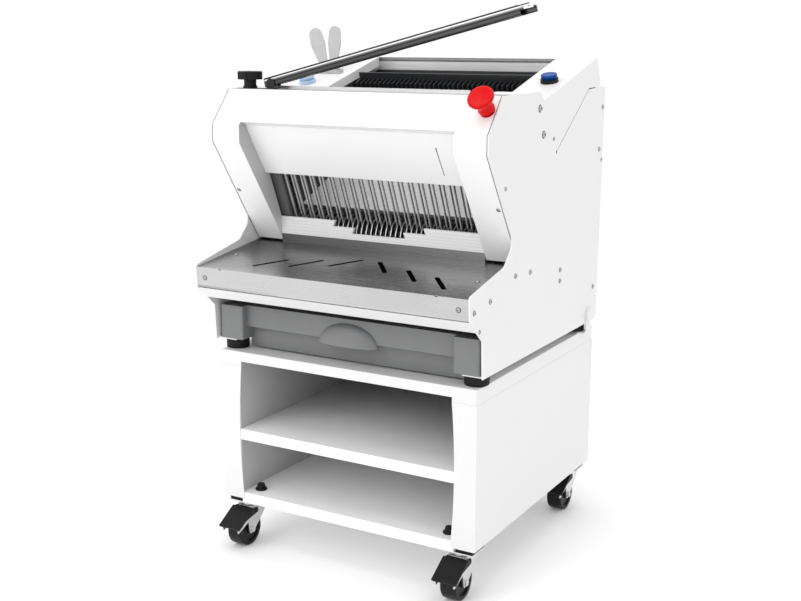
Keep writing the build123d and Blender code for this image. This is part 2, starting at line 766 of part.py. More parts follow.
# Crumb drawer: deep tub between the feet, side rails on the panel flanges, moulded front
half_tub = half_housing - drawer_tub_inset
rail_low = panel_bottom + flange_sheet + part_gap
drawer_front_y = 24.0
drawer_back_y = rear_depth - drawer_back_inset
post_y = 6.0
post_outer = half_housing - drawer_post_inset
post_inner = post_outer - drawer_post_width
pull_place = Location((3, front + drawer_front_y + 2, deck + pull_low))
pull_dome = pull_place * scale(Sphere(1), by=(pull_half, pull_depth, pull_height))
pull_dome = pull_dome & block(-half_tub, half_tub, front, front + 46, deck + pull_low, deck + drawer_top)
hollow_size = (pull_half - pull_wall, pull_depth - pull_wall, pull_height - pull_wall)
pull_hollow = pull_place * scale(Sphere(1), by=hollow_size)
pull_hollow = pull_hollow & block(-half_tub, half_tub, front, front + drawer_front_y, deck, deck + drawer_top)
with BuildPart() as crumb_drawer:
    add(block(-half_tub, half_tub, front + 46, front + drawer_back_y,
              deck + drawer_bottom, deck + drawer_top))
    add(block(-half_tub, half_tub, front + drawer_front_y, front + 60, deck + 52, deck + drawer_top))
    add(block(-half_tub + drawer_wall, half_tub - drawer_wall,
              front + 50, front + drawer_back_y - drawer_wall,
              deck + drawer_bottom + drawer_wall, deck + drawer_top + 1), mode=Mode.SUBTRACT)
    for side in (-1, 1):
        low, high = sorted((side * (half_tub - 1), side * post_outer))
        add(block(low, high, front + 40, front + drawer_back_y,
                  deck + rail_low, deck + rail_low + drawer_wall))
        low, high = sorted((side * post_inner, side * post_outer))
        add(block(low, high, front + post_y, front + 50, deck + rail_low, deck + drawer_top))
    upright = crumb_drawer.edges().filter_by(Axis.Z)
    fillet(upright.filter_by_position(Axis.Y, front + post_y - 1, front + post_y + 1), 5)
    add(pull_dome)
    add(pull_hollow, mode=Mode.SUBTRACT)
keep(crumb_drawer.part, "crumb_drawer")


def blade_frame(sign):
    """A blade frame: two crossbars, two stiles and the drive lug with its pin."""
    low = sign * frame_offset - frame_thickness / 2
    height = frame_top - frame_bottom
    lug_x = sign * (crank_end + crank_disc_width + 2)
    lug_face = sign * (frame_offset - frame_thickness / 2)
    with BuildPart() as frame:
        with BuildSketch(blade_plane(low)):
            with Locations((0, (frame_top + frame_bottom) / 2)):
                Rectangle(2 * half_infeed + 2 * frame_stile + 8, height)
                Rectangle(2 * half_infeed + 8, height - 2 * frame_bar, mode=Mode.SUBTRACT)
        extrude(amount=frame_thickness)
        with BuildSketch(blade_plane(lug_face)):
            with Locations((lug_x, frame_bottom + 2 - (lug_drop + lug_end + 2) / 2)):
                Rectangle(lug_thickness, lug_drop + lug_end + 2)
        extrude(amount=sign * (lug_offset + lug_end - frame_offset + frame_thickness / 2))
        with BuildSketch(side_plane(lug_x)):
            with Locations(at(*lug_spot(sign))):
                Circle(lug_pin_radius)
        extrude(amount=sign * 18)
    return frame.part


def blade_set(sign):
    """Every second blade, held between the crossbars of one frame."""
    length = frame_top - frame_bottom - 2 * frame_bar
    first = 0 if sign > 0 else 1
    middle = (blade_count - 1) / 2
    with BuildPart() as blades:
        with BuildSketch(blade_plane(sign * blade_offset - blade_width / 2)):
            for index in range(first, blade_count, 2):
                with Locations(((index - middle) * blade_pitch, (frame_top + frame_bottom) / 2)):
                    Rectangle(blade_thickness, length)
        extrude(amount=blade_width)
    return blades.part


for sign, place in ((1, "front"), (-1, "rear")):
    keep(blade_frame(sign), f"{place}_blade_frame")
    keep(blade_set(sign), f"{place}_blades")

# Guides of the blade frames, one channel each side with two arms to the side panel
frame_edge = half_infeed + frame_stile + 4
pack_half = frame_offset + frame_thickness / 2 + guide_clearance
with BuildPart() as frame_guides:
    for side in (-1, 1):
        with BuildSketch(blade_plane(-pack_half - 3)):
            with Locations((side * (frame_edge + guide_clearance + 4 - 5), 30)):
                Rectangle(18, 190)
        extrude(amount=2 * pack_half + 6)
        with BuildSketch(blade_plane(-pack_half)):
            with Locations((side * (frame_edge + guide_clearance - 10), 30)):
                Rectangle(20, 192)
        extrude(amount=2 * pack_half, mode=Mode.SUBTRACT)
        outer = frame_edge + guide_clearance + 8
        for along in (-40, 100):
            with BuildSketch(blade_plane(-6)):
                with Locations((side * (outer - 0.5 + inner_housing) / 2, along)):
                    Rectangle(inner_housing - outer + 0.5, 30)
            extrude(amount=12)
keep(frame_guides.part, "frame_guides")

# White outlet bars, stacked in steps, between the pillars' return flanges
bar_face_y = tray_rear_y - 3
bar_low = 238.0
bar_levels = [(0, 0.0), (1, 60.0), (2, 108.0)]
with BuildPart() as outlet_bars:
    for level, inner in bar_levels:
        z_low = deck + bar_low + level * bar_strip
        edge = half_window - cover_sheet
        with BuildSketch(front_plane(front + bar_face_y + 8)):
            with BuildLine():
                if inner == 0.0:
                    Polyline((-edge, z_low), (edge, z_low), (edge, z_low + bar_strip),
                             (-edge, z_low + bar_strip), close=True)
                else:
                    Polyline((inner + 5, z_low), (edge, z_low), (edge, z_low + bar_strip),
                             (inner, z_low + bar_strip), close=True)
            make_face()
            if inner > 0.0:
                mirror(about=Plane.YZ)
        extrude(amount=8)
keep(outlet_bars.part, "outlet_bars")

# Comb of curved fingers that carries the slices between the blades
comb_start = blade_spot(-17, -48)
comb_front = (bar_face_y + 8, bar_low + 2)
comb_top = blade_spot(6, -48)
with BuildPart() as outlet_comb:
    middle = blade_count / 2
    for index in range(blade_count + 1):
        x = (index - middle) * blade_pitch - comb_finger / 2
        with BuildSketch(side_plane(x)):
            with BuildLine():
                Line(at(*comb_start), at(comb_start[0], comb_start[1] + 3))
                Line(at(comb_start[0], comb_start[1] + 3), at(*comb_top))
                ThreePointArc(at(*comb_top), at(comb_front[0] + 6, bar_low + 24), at(*comb_front))
                Line(at(*comb_front), at(comb_front[0] + 6, comb_front[1]))
                ThreePointArc(at(comb_front[0] + 6, comb_front[1]), at(comb_front[0] + 12, bar_low + 17),
                              at(comb_top[0] + 5, comb_top[1] - 8))
                Line(at(comb_top[0] + 5, comb_top[1] - 8), at(*comb_start))
            make_face()
        extrude(amount=comb_finger)
    add(block(-half_window + cover_sheet + 6, half_window - cover_sheet - 6, front + comb_front[0],
              front + comb_front[0] + 6, deck + bar_low, deck + bar_low + 8))
keep(outlet_comb.part, "outlet_comb")

# Sloping chute floor behind the blades, with its turned-down rear edge
floor_start = blade_spot(-17, -38)
chute_chain = [floor_start, (lining_back_y, chute_z(lining_back_y)),
               (lining_back_y, chute_z(lining_back_y) - 20)]
keep(bent_sheet(chute_chain, -half_infeed + lining_sheet, half_infeed - lining_sheet, -2.0), "chute_floor")

# Pusher: dark back plate and a comb of fingers, square to the chute floor
pusher_room = 57.0
pusher_gap = (lining_back_y - blade_point[0] - pusher_room) / cos(lean)
pusher_height = 166.0
finger_height = 152.0
pusher_foot = -38 + part_gap
with BuildPart() as pusher_comb:
    with BuildSketch(blade_plane(-pusher_gap - 6)):
        with Locations((0, pusher_foot + pusher_height / 2)):
            Rectangle(2 * half_infeed - 16, pusher_height)
    extrude(amount=3)
    for index in range(blade_count + 1):
        x = (index - blade_count / 2) * blade_pitch
        if abs(x) < half_infeed - 9:
            with BuildSketch(blade_plane(-pusher_gap - 3)):
                with Locations((x, pusher_foot + finger_height / 2)):
                    Rectangle(3, finger_height)
            extrude(amount=26)
keep(pusher_comb.part, "pusher_comb")

# Drive: motor on its foot, pulleys, belt, crankshaft, bearings and two connecting rods
with BuildPart() as motor:
    with BuildSketch(side_plane(motor_start)):
        with Locations(at(motor_y, motor_z)):
            Circle(motor_radius)
    extrude(amount=motor_length)
    fillet(motor.edges().filter_by(GeomType.CIRCLE), 6)
    add(block(motor_start + 20, motor_start + motor_length - 20, front + motor_y - 55, front + motor_y + 55,
              deck + floor_high, deck + motor_z - 40))
    with BuildSketch(side_plane(motor_start - 6)):
        with Locations(at(motor_y, motor_z)):
            Circle(18)
            Circle(8 + part_gap, mode=Mode.SUBTRACT)
    extrude(amount=8)
    with BuildSketch(side_plane(motor_start - 6)):
        with Locations(at(motor_y, motor_z)):
            Circle(8 + part_gap)
    extrude(amount=40, mode=Mode.SUBTRACT)
keep(motor.part, "motor")

with BuildPart() as motor_pulley:
    with BuildSketch(side_plane(-belt_width / 2 - 2)):
        with Locations(at(motor_y, motor_z)):
            Circle(motor_pulley_radius - part_gap)
    extrude(amount=belt_width + 4)
    with BuildSketch(side_plane(0)):
        with Locations(at(motor_y, motor_z)):
            Circle(8)
    extrude(amount=motor_start + 30)
keep(motor_pulley.part, "motor_pulley")


def belt_loop(extra):
    """The face inside a belt run round both pulleys, grown by extra."""
    far = Vector(*at(motor_y, motor_z))
    near = Vector(*at(crank_y, crank_z))
    with BuildSketch(side_plane(-belt_width / 2)) as loop:
        with Locations((far.X, far.Y)):
            Circle(motor_pulley_radius + extra)
        with Locations((near.X, near.Y)):
            Circle(crank_pulley_radius + extra)
        make_hull()
    return loop.sketch


with BuildPart() as drive_belt:
    extrude(belt_loop(belt_thickness), amount=belt_width)
    extrude(belt_loop(0), amount=belt_width, mode=Mode.SUBTRACT)
keep(drive_belt.part, "drive_belt")

# The rods' small ends sit on the frames' pins, and the crank pins stop just short of the big ends
small_end = {sign: Vector(*lug_spot(sign)) for sign in (1, -1)}
crank_centre = Vector(crank_y, crank_z)
reach = crank_centre - (small_end[1] + small_end[-1]) * 0.5
across = Vector(-reach.Y, reach.X).normalized() * blade_stroke
big_end = {sign: crank_centre + across * sign for sign in (1, -1)}
with BuildPart() as crankshaft:
    with BuildSketch(side_plane(-crank_end)):
        with Locations(at(crank_y, crank_z)):
            Circle(shaft_radius)
    extrude(amount=2 * crank_end)
    with BuildSketch(side_plane(-belt_width / 2 - 2)):
        with Locations(at(crank_y, crank_z)):
            Circle(crank_pulley_radius - part_gap)
    extrude(amount=belt_width + 4)
    for side in (-1, 1):
        with BuildSketch(side_plane(side * crank_end)):
            with Locations(at(crank_y, crank_z)):
                Circle(crank_disc_radius)
        extrude(amount=side * crank_disc_width)
        with BuildSketch(side_plane(side * (crank_end + crank_disc_width))):
            with Locations(at(big_end[side].X, big_end[side].Y)):
                Circle(crank_pin_radius)
        extrude(amount=side * 8)
keep(crankshaft.part, "crankshaft")

bearing_x = 48.0
with BuildPart() as shaft_bearings:
    for x in (-bearing_x, bearing_x):
        with BuildSketch(side_plane(x - 11)):
            with BuildLine():
                Polyline(at(crank_y - 45, floor_high), at(crank_y + 45, floor_high),
                         at(crank_y + 45, floor_high + 12),
                         at(crank_y + 20, crank_z + 18), at(crank_y - 20, crank_z + 18),
                         at(crank_y - 45, floor_high + 12), close=True)
            make_face()
            with Locations(at(crank_y, crank_z)):
                Circle(shaft_radius + pin_clearance, mode=Mode.SUBTRACT)
        extrude(amount=22)
keep(shaft_bearings.part, "shaft_bearings")


def connecting_rod(sign):
    """A flat rod with an eye at each end."""
    small = Vector(*at(small_end[sign].X, small_end[sign].Y))
    big = Vector(*at(big_end[sign].X, big_end[sign].Y))
    x = sign * (crank_end + crank_disc_width + 8 + 0.6)
    with BuildPart() as rod:
        with BuildSketch(side_plane(x)):
            with Locations((small.X, small.Y), (big.X, big.Y)):
                Circle(rod_eye_radius)
            make_hull()
            with Locations((small.X, small.Y)):
                Circle(lug_pin_radius + pin_clearance, mode=Mode.SUBTRACT)
            with Locations((big.X, big.Y)):
                Circle(crank_pin_radius + pin_clearance, mode=Mode.SUBTRACT)
        extrude(amount=sign * rod_thickness)
    return rod.part


keep(connecting_rod(1), "connecting_rod_front")
keep(connecting_rod(-1), "connecting_rod_rear")

# Press bar: an open channel raised from its pivot at the left, with a hooked tongue at its end
bar_place = Vector(bar_pivot[0], front + bar_pivot[1], deck + bar_pivot[2])
rise = radians(bar_rise)
bar_plane = Plane(origin=bar_place, x_dir=(cos(rise), 0, sin(rise)), z_dir=(0, -1, 0))
with BuildPart() as press_bar:
    with BuildSketch(bar_plane.offset(-bar_width / 2)):
        with Locations(((bar_length - bar_tongue - bar_tail) / 2, 0)):
            Rectangle(bar_length - bar_tongue + bar_tail, bar_height)
    extrude(amount=bar_width)
    with BuildSketch(bar_plane.offset(-bar_width / 2 + bar_sheet)):
        with Locations(((bar_length - bar_tongue - bar_tail) / 2, bar_sheet)):
            Rectangle(bar_length - bar_tongue + bar_tail + 8, bar_height)
    extrude(amount=bar_width - 2 * bar_sheet, mode=Mode.SUBTRACT)
    with BuildSketch(bar_plane.offset(-bar_width / 2)):
        with BuildLine():
            Polyline((bar_length - 40, -bar_height / 2), (bar_length + 12, -bar_height / 2),
                     (bar_length + 12, 3), (bar_length + 7, 5), (bar_length + 6, 1),
                     (bar_length - 40, 3), close=True)
        make_face()
    extrude(amount=bar_sheet * 2)
    with BuildSketch(bar_plane.offset(bar_width / 2 - bar_sheet)):
        with BuildLine():
            Polyline((bar_length - 40, bar_height / 2 - 4), (bar_length + 1, bar_height / 2 - 4),
                     (bar_length + 3, bar_height / 2 - 7), (bar_length + 8, bar_height / 2 - 5),
                     (bar_length + 6, bar_height / 2), (bar_length - 40, bar_height / 2), close=True)
        make_face()
    extrude(amount=bar_sheet)
    with BuildSketch(bar_plane.offset(-bar_width / 2 - 1)):
        Circle(bar_pin_radius + pin_clearance)
    extrude(amount=bar_width + 2, mode=Mode.SUBTRACT)
keep(press_bar.part, "press_bar")

# Pivot bracket with two ears and a pin, and the rest for the lowered bar at the right
ear = bar_width / 2 + part_gap
ear_width = 20.0
bracket_low = deck + ledge_z
with BuildPart() as press_bar_brackets:
    add(block(knob_x - 22, bar_place.X + 16, front + knob_y - 16, bar_place.Y + 15,
              bracket_low, bracket_low + 2))
    for side in (-1, 1):
        with BuildSketch(front_plane(bar_place.Y + side * (ear + 1) + 1)):
            with Locations((bar_place.X, bracket_low + 11)):
                Rectangle(ear_width, 22)
        extrude(amount=2)
    with BuildSketch(front_plane(bar_place.Y + ear + 2)):
        with Locations((bar_place.X, bar_place.Z)):
            Circle(bar_pin_radius)
    extrude(amount=2 * ear + 4)
    fillet(press_bar_brackets.edges().filter_by(Axis.Y).group_by(Axis.Z)[-1], ear_width * 0.4)
    rest_x = half_infeed + 42
    add(block(rest_x - 12, rest_x + 12, bar_place.Y - 12, bar_place.Y + 12, bracket_low, bracket_low + 2))
    add(block(rest_x - 2, rest_x + 2, bar_place.Y + 10.6, bar_place.Y + 12, bracket_low, bracket_low + 14))
keep(press_bar_brackets.part, "press_bar_brackets")

# Star knob with a ribbed head, that clamps the bracket
knob_low = bracket_low + 2 + part_gap
with BuildPart() as star_knob:
    with BuildSketch(Plane.XY.offset(knob_low)):
        with Locations((knob_x, front + knob_y)):
            Circle(15)
    extrude(amount=4)
    with BuildSketch(Plane.XY.offset(knob_low + 4)):
        with Locations((knob_x, front + knob_y)):
            Circle(13)
    extrude(amount=13)
    with BuildSketch(Plane.XY.offset(knob_low + 17)):
        with Locations((knob_x, front + knob_y)):
            Circle(knob_radius)
        with Locations((knob_x, front + knob_y)):
            with PolarLocations(knob_radius + 4, 6):
                Circle(8, mode=Mode.SUBTRACT)
    extrude(amount=17)
    fillet(star_knob.edges().group_by(Axis.Z)[-1], 2)
keep(star_knob.part, "star_knob")

# Start and stop buttons on the hood boxes, emergency button on the slanted face
def button_plane(spot):
    """The hood's sloping top at a button."""
    tilt = (0, -sin(hood_slope), cos(hood_slope))
    return Plane(origin=(spot[0], *at(spot[1], hood_z(spot[1]))), x_dir=(1, 0, 0), z_dir=tilt)


with BuildPart() as button_collars:
    with BuildSketch(estop_plane):
        Circle(estop_neck - 1)
        Circle(stem_radius + part_gap, mode=Mode.SUBTRACT)
    extrude(amount=2)
    for spot in (start_button_at, stop_button_at):
        with BuildSketch(button_plane(spot)):
            Circle(button_radius + 2)
            Circle(button_radius - 3, mode=Mode.SUBTRACT)
        extrude(amount=8)
keep(button_collars.part, "button_collars")

with BuildPart() as emergency_button:
    with BuildSketch(estop_plane.offset(7)):
        Circle(estop_neck)
    extrude(amount=17)
    with BuildSketch(estop_plane.offset(24)):
        Circle(estop_neck)
    with BuildSketch(estop_plane.offset(38)):
        Circle(estop_head)
    loft()
    with BuildSketch(estop_plane.offset(38)):
        Circle(estop_head)
    extrude(amount=7, taper=20)
    fillet(emergency_button.edges().sort_by(Axis.Z)[-1], 2)
    with BuildSketch(estop_plane.offset(-3)):
        Circle(stem_radius)
    extrude(amount=15)
keep(emergency_button.part, "emergency_button")


def push_button(spot):
    """A button cap that stands above its collar."""
    with BuildPart() as cap:
        with BuildSketch(button_plane(spot).offset(1)):
            Circle(button_radius - 3 - part_gap)
        extrude(amount=12)
        with BuildSketch(button_plane(spot).offset(12)):
            Circle(button_radius)
        extrude(amount=5)
        fillet(cap.edges().group_by(Axis.Z)[-1], 1.5)
    return cap.part


keep(push_button(start_button_at), "start_button")
keep(push_button(stop_button_at), "stop_button")

# Two bagging paddles in a foot on the left hood box, with a small clamp knob
paddle_foot = Plane(origin=(paddle_x, *at(paddle_y, hood_z(paddle_y))), x_dir=(1, 0, 0),
                    z_dir=(0, -sin(hood_slope), cos(hood_slope)))
with BuildPart() as bagging_paddles:
    with BuildSketch(paddle_foot):
        with Locations((7, 0)):
            RectangleRounded(58, 20, 4)
    extrude(amount=8)
    with BuildSketch(paddle_foot.offset(8)):
        with Locations((28, 0)):
            Circle(3)
    extrude(amount=8)
    with BuildSketch(paddle_foot.offset(16)):
        with Locations((28, 0)):
            Circle(7)
    extrude(amount=9)
    fillet(bagging_paddles.edges().group_by(Axis.Z)[-1], 2)
    base_z = deck + hood_z(paddle_y) + 6
    for turn, shift, half in ((19, -11, 19), (-3, 11, 17)):
        tilt = radians(turn)
        foot = Plane(origin=(paddle_x + shift, front + paddle_y + 4, base_z), x_dir=(cos(tilt), 0, sin(tilt)),
                     z_dir=(0, -1, 0))
        with BuildSketch(foot):
            with BuildLine():
                Polyline((-8, 0), (8, 0), (half, 62), (half - 2, 86))
                ThreePointArc((half - 2, 86), (0, 101), (2 - half, 86))
                Polyline((2 - half, 86), (-half, 62), (-8, 0))
            make_face()
        extrude(amount=3)
keep(bagging_paddles.part, "bagging_paddles")

# Rear brackets: a plate below each rear foot, a strap beside the housing and a round head
strap_half = 14.0
strap_top = 41.0
head_radius = 16.5
with BuildPart() as stand_brackets:
    for side in (-1, 1):
        low, high = sorted((side * (foot_x - foot_diameter / 2), side * (half_housing + bracket_sheet)))
        add(block(low, high, front + bracket_y - 24, front + bracket_y + strap_half,
                  deck, deck + bracket_sheet))
        low, high = sorted((side * half_housing, side * (half_housing + bracket_sheet)))
        add(block(low, high, front + bracket_y - strap_half, front + bracket_y + strap_half,
                  deck, deck + strap_top))
        with BuildSketch(side_plane(side * half_housing)):
            with Locations(at(bracket_y, strap_top)):
                Circle(head_radius)
        extrude(amount=side * 8)
    rims = stand_brackets.edges().filter_by(GeomType.CIRCLE)
    fillet(rims.filter_by(lambda rim: abs(rim.center().X) > half_housing + 7), 2)
keep(stand_brackets.part, "stand_brackets")

# Cable gland in the rear panel: threaded body, outer nut and inner nut
with BuildPart() as cable_gland:
    with BuildSketch(gland_plane.offset(-9)):
        Circle(gland_radius)
        Circle(4, mode=Mode.SUBTRACT)
    extrude(amount=25)
    for low in (-cover_sheet - 5, 0):
        with BuildSketch(gland_plane.offset(low)):
            RegularPolygon(gland_radius + 4, 6)
            Circle(4, mode=Mode.SUBTRACT)
        extrude(amount=5)
keep(cable_gland.part, "cable_gland")
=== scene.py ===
# %% [markdown]
# # An automatic bread slicer on its wheeled stand
# A baker drops a loaf into the sloping hopper at the top. A pusher slides it down to two frames of blades
# that saw up and down against each other, and the slices come out on the steel tray at the front.
# The measured solids are loaded first and stay where they are. This lesson gives them finishes, replaces many
# of them with finer meshes, and sets up a small photo studio round the machine.

# %% Load the measured model
import bpy
import bmesh
import json
import math
from mathutils import Matrix, Vector

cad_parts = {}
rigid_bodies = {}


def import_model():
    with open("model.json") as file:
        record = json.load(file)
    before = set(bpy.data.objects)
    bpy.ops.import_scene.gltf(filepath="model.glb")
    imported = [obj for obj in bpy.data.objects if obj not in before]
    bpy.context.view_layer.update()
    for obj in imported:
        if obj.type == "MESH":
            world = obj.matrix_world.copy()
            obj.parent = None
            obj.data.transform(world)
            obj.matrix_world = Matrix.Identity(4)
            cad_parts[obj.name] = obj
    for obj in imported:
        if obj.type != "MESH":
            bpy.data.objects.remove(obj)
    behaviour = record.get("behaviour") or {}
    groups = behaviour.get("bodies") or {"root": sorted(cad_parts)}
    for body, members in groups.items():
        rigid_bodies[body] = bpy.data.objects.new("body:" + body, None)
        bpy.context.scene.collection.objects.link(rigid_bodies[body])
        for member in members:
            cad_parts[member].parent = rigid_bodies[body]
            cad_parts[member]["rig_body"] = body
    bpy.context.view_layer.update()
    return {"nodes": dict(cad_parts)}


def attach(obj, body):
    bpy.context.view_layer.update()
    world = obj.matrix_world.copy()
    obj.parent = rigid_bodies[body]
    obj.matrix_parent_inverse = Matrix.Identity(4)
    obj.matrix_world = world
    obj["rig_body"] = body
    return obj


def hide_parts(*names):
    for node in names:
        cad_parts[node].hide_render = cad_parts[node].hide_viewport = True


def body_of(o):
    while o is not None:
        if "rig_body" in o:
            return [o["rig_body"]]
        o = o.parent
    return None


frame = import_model()
nodes = frame["nodes"]
print("pieces loaded:", len(nodes))

# %% [markdown]
# ## Measures of the side view
# The solids were drawn from a side view, in mm behind the stand's front and above its top. The finishes and
# the added pieces follow the same lines, so the measures that they share are named once, in that same view.

# %% Measures of the side view
half_depth = 307.5
stand_top = 445


def side_point(y, z):
    """A point of the side view, from mm behind the stand's front and above its top."""
    return Vector((0, (y - half_depth) / 1000, (z + stand_top) / 1000))


blade_lean = math.radians(23.5)
blade_origin = side_point(156, 322)
blade_count = 38
blade_pitch = 12.0
bar_rise = math.radians(13.9)
bar_pivot = side_point(95, 569) + Vector((-0.222, 0, 0))
hood_low, hood_high = side_point(258, 536), side_point(551, 619)
cover_bend, cover_top = (6, 482), (66, 553)
print("lean of blades and bar:", [round(math.degrees(angle), 1) for angle in (blade_lean, bar_rise)])

# %% [markdown]
# ## Camera
# The machine was photographed from its right front corner, a little from above, with a normal lens. The
# camera's three directions are worked out from three angles, so the turn round the machine, the tilt and the
# slight roll can be read here.

# %% Camera at the photograph's angle
turn = math.radians(29.78)
tilt = math.radians(12.47)
roll = math.radians(0.17)
camera_place = Vector((1.2493, -2.2463, 1.0962))
towards_camera = Vector((math.sin(turn) * math.cos(tilt), -math.cos(turn) * math.cos(tilt), math.sin(tilt)))
level_right = Vector((math.cos(turn), math.sin(turn), 0))
level_up = towards_camera.cross(level_right)
camera_right = level_right * math.cos(roll) + level_up * math.sin(roll)
camera_up = level_up * math.cos(roll) - level_right * math.sin(roll)

camera_data = bpy.data.cameras.new("photo_camera")
camera_data.sensor_width = 36
camera_data.lens = 52.64
camera = bpy.data.objects.new("photo_camera", camera_data)
bpy.context.scene.collection.objects.link(camera)
pose = Matrix((camera_right, camera_up, towards_camera)).transposed().to_4x4()
pose.translation = camera_place
camera.matrix_world = pose
bpy.context.scene.camera = camera
print("camera stands", round(camera_place.length, 2), "m from the middle of the floor")

# %% [markdown]
# ## Node sheets
# Finishes and repeated pieces are both drawn as node trees. A node editor shows each small sum as a box,
# which is slow to read in a script, so one class lets an ordinary Python sum add its Math nodes, and one
# method adds any other node from its type, its settings and its values.


# %% A socket that can be used in sums
class Val:
    """A node socket that adds Math nodes when it is used in a sum."""

    def __init__(self, sheet, socket):
        self.sheet = sheet
        self.socket = socket

    def sum(self, operation, *values):
        """One Math node of a kind, with these values."""
        return self.sheet.node("ShaderNodeMath", {"operation": operation}, values)

    def __add__(self, other):
        return self.sum("ADD", self, other)

    def __sub__(self, other):
        return self.sum("SUBTRACT", self, other)

    def __rsub__(self, other):
        return self.sum("SUBTRACT", other, self)

    def __mul__(self, other):
        return self.sum("MULTIPLY", self, other)

    def __truediv__(self, other):
        return self.sum("DIVIDE", self, other)

    __radd__ = __add__
    __rmul__ = __mul__


class Sheet:
    """A node tree, with one way to add any node to it."""

    def __init__(self, tree):
        self.tree = tree

    def node(self, kind, settings, values, out=0):
        """Adds a node with its settings and values, and gives back one of its outputs."""
        made = self.tree.nodes.new(kind)
        for key, value in settings.items():
            if key == "stops":
                for extra in value[2:]:
                    made.color_ramp.elements.new(extra[0])
                for element, (position, colour) in zip(made.color_ramp.elements, sorted(value)):
                    element.position = position
                    element.color = colour
            else:
                setattr(made, key, value)
        pairs = values.items() if isinstance(values, dict) else enumerate(values)
        for key, value in pairs:
            if isinstance(value, Val):
                self.tree.links.new(value.socket, made.inputs[key])
            else:
                made.inputs[key].default_value = value
        return Val(self, made.outputs[out])


def grey(value):
    """A neutral colour."""
    return (value, value, value, 1.0)


def tones(*stops):
    """The stops of a ramp, each a place and how light it is there."""
    return tuple((place, grey(value)) for place, value in stops)


class Finish(Sheet):
    """One material: its node tree, and short ways to the nodes that finishes use."""

    def __init__(self, name):
        self.material = bpy.data.materials.new(name)
        self.material.use_nodes = True
        super().__init__(self.material.node_tree)
        self.tree.nodes.clear()
        self.output = self.tree.nodes.new("ShaderNodeOutputMaterial")
        self.place = self.node("ShaderNodeTexCoord", {}, [], out="Object")

    def along(self, axis):
        """The place along one axis, in metres."""
        return self.node("ShaderNodeSeparateXYZ", {}, [self.place], out=axis)

    def stretched(self, scale):
        """Object coordinates multiplied along each axis, so that a pattern is drawn out."""
        return self.node("ShaderNodeMapping", {}, {"Vector": self.place, "Scale": scale})

    def noise(self, scale, detail=2.0, rough=0.5, where=None):
        """Soft clouds between 0 and 1. A larger scale makes them smaller."""
        values = {"Vector": where or self.place, "Scale": scale, "Detail": detail, "Roughness": rough}
        return self.node("ShaderNodeTexNoise", {}, values)

    def ramp(self, value, *stops):
        """A colour that changes with a value, from stop to stop."""
        return self.node("ShaderNodeValToRGB", {"stops": stops}, [value])

    def mix(self, share, first, second, way="MIX"):
        """Two colours mixed, with the share of the second."""
        values = {0: share, 6: first, 7: second}
        return self.node("ShaderNodeMix", {"data_type": "RGBA", "blend_type": way}, values, out=2)

    def bump(self, height, strength, distance):
        """A surface direction that looks as if a height were pressed into it."""
        values = {"Height": height, "Strength": strength, "Distance": distance}
        return self.node("ShaderNodeBump", {}, values)

    def shade(self, **values):
        """Ends the finish with a Principled shader, and gives back the material."""
        named = {key.replace("_", " "): value for key, value in values.items()}
        shader = self.node("ShaderNodeBsdfPrincipled", {}, named)
        self.tree.links.new(shader.socket, self.output.inputs["Surface"])
        return self.material


print("node helpers ready")

# %% [markdown]
# ## White powder coat
# The stand and the housing are sheet steel under a baked powder. Up close the powder has a very shallow
# orange-peel skin, and its gloss varies a little. Noise at two sizes gives both. The colour stays clean,
# since a bakery machine is wiped down every day.


# %% White powder coat
def powder_coat(name, tone, rough, reach=None):
    """A baked white or dark powder. reach gives a place as a node value, and the tones of painted shade along
    it.
    """
    coat = Finish(name)
    cloud = coat.noise(7.0, 3.0)
    peel = coat.noise(560.0, 2.0)
    colour = coat.mix(cloud, grey(tone * 0.985), grey(min(tone * 1.015, 0.95)))
    if reach:
        place, stops = reach(coat)
        # The ramp multiplies painted shade into the coat's colour.
        colour = coat.mix(1.0, colour, coat.ramp(place, *stops), "MULTIPLY")
    return coat.shade(Base_Color=colour, Roughness=cloud * 0.10 + rough, Normal=coat.bump(peel, 0.05, 0.0004))


def inner_reach(coat):
    """Painted shade: a stand side's faces that look into the shelves are a little darker than its outer
    sheet.
    """
    shelf_side, front_face = 0.306, -0.303
    across, depth = coat.along("X"), coat.along("Y")
    inside = across.sum("LESS_THAN", across.sum("ABSOLUTE", across), shelf_side)
    behind = depth.sum("GREATER_THAN", depth, front_face)
    return 1 - inside * behind, tones((0.0, 0.66), (1.0, 1.0))


def back_reach(coat):
    """Painted shade: the back sheet is darker on the face that looks into the shelves, and white on its outer
    face.
    """
    inside_sheet = 0.3066
    depth = coat.along("Y")
    return depth.sum("GREATER_THAN", depth, inside_sheet), tones((0.0, 0.585), (1.0, 1.0))


def pillar_reach(coat):
    """Painted shade: the left pillar's return flange faces the dark outlet, so it is darker than the pillar's
    front.
    """
    flange_left, flange_right, flange_low, flange_high = -0.24895, -0.2440, 0.66, 0.932
    across, up = coat.along("X"), coat.along("Z")
    flange = across.sum("GREATER_THAN", across, flange_left) * across.sum("LESS_THAN", across, flange_right)
    flange = flange * up.sum("LESS_THAN", up, flange_high)
    place = flange * ((up - flange_low) * 2.1 + 0.42)
    return place, tones((0.0, 1.0), (0.35, 1.0), (0.40, 0.82), (0.95, 0.50))


white_coat = powder_coat("white_powder_coat", 0.77, 0.32)
# The cover and the deflector get a lighter copy of the white powder, painted light for the light that the
# floor throws up onto their downward faces. The cover also takes painted shade on its left pillar's flange.
cover_painted_light_coat = powder_coat("cover_powder_coat", 0.86, 0.30, pillar_reach)
deflector_painted_light_coat = powder_coat("deflector_powder_coat", 0.86, 0.30)
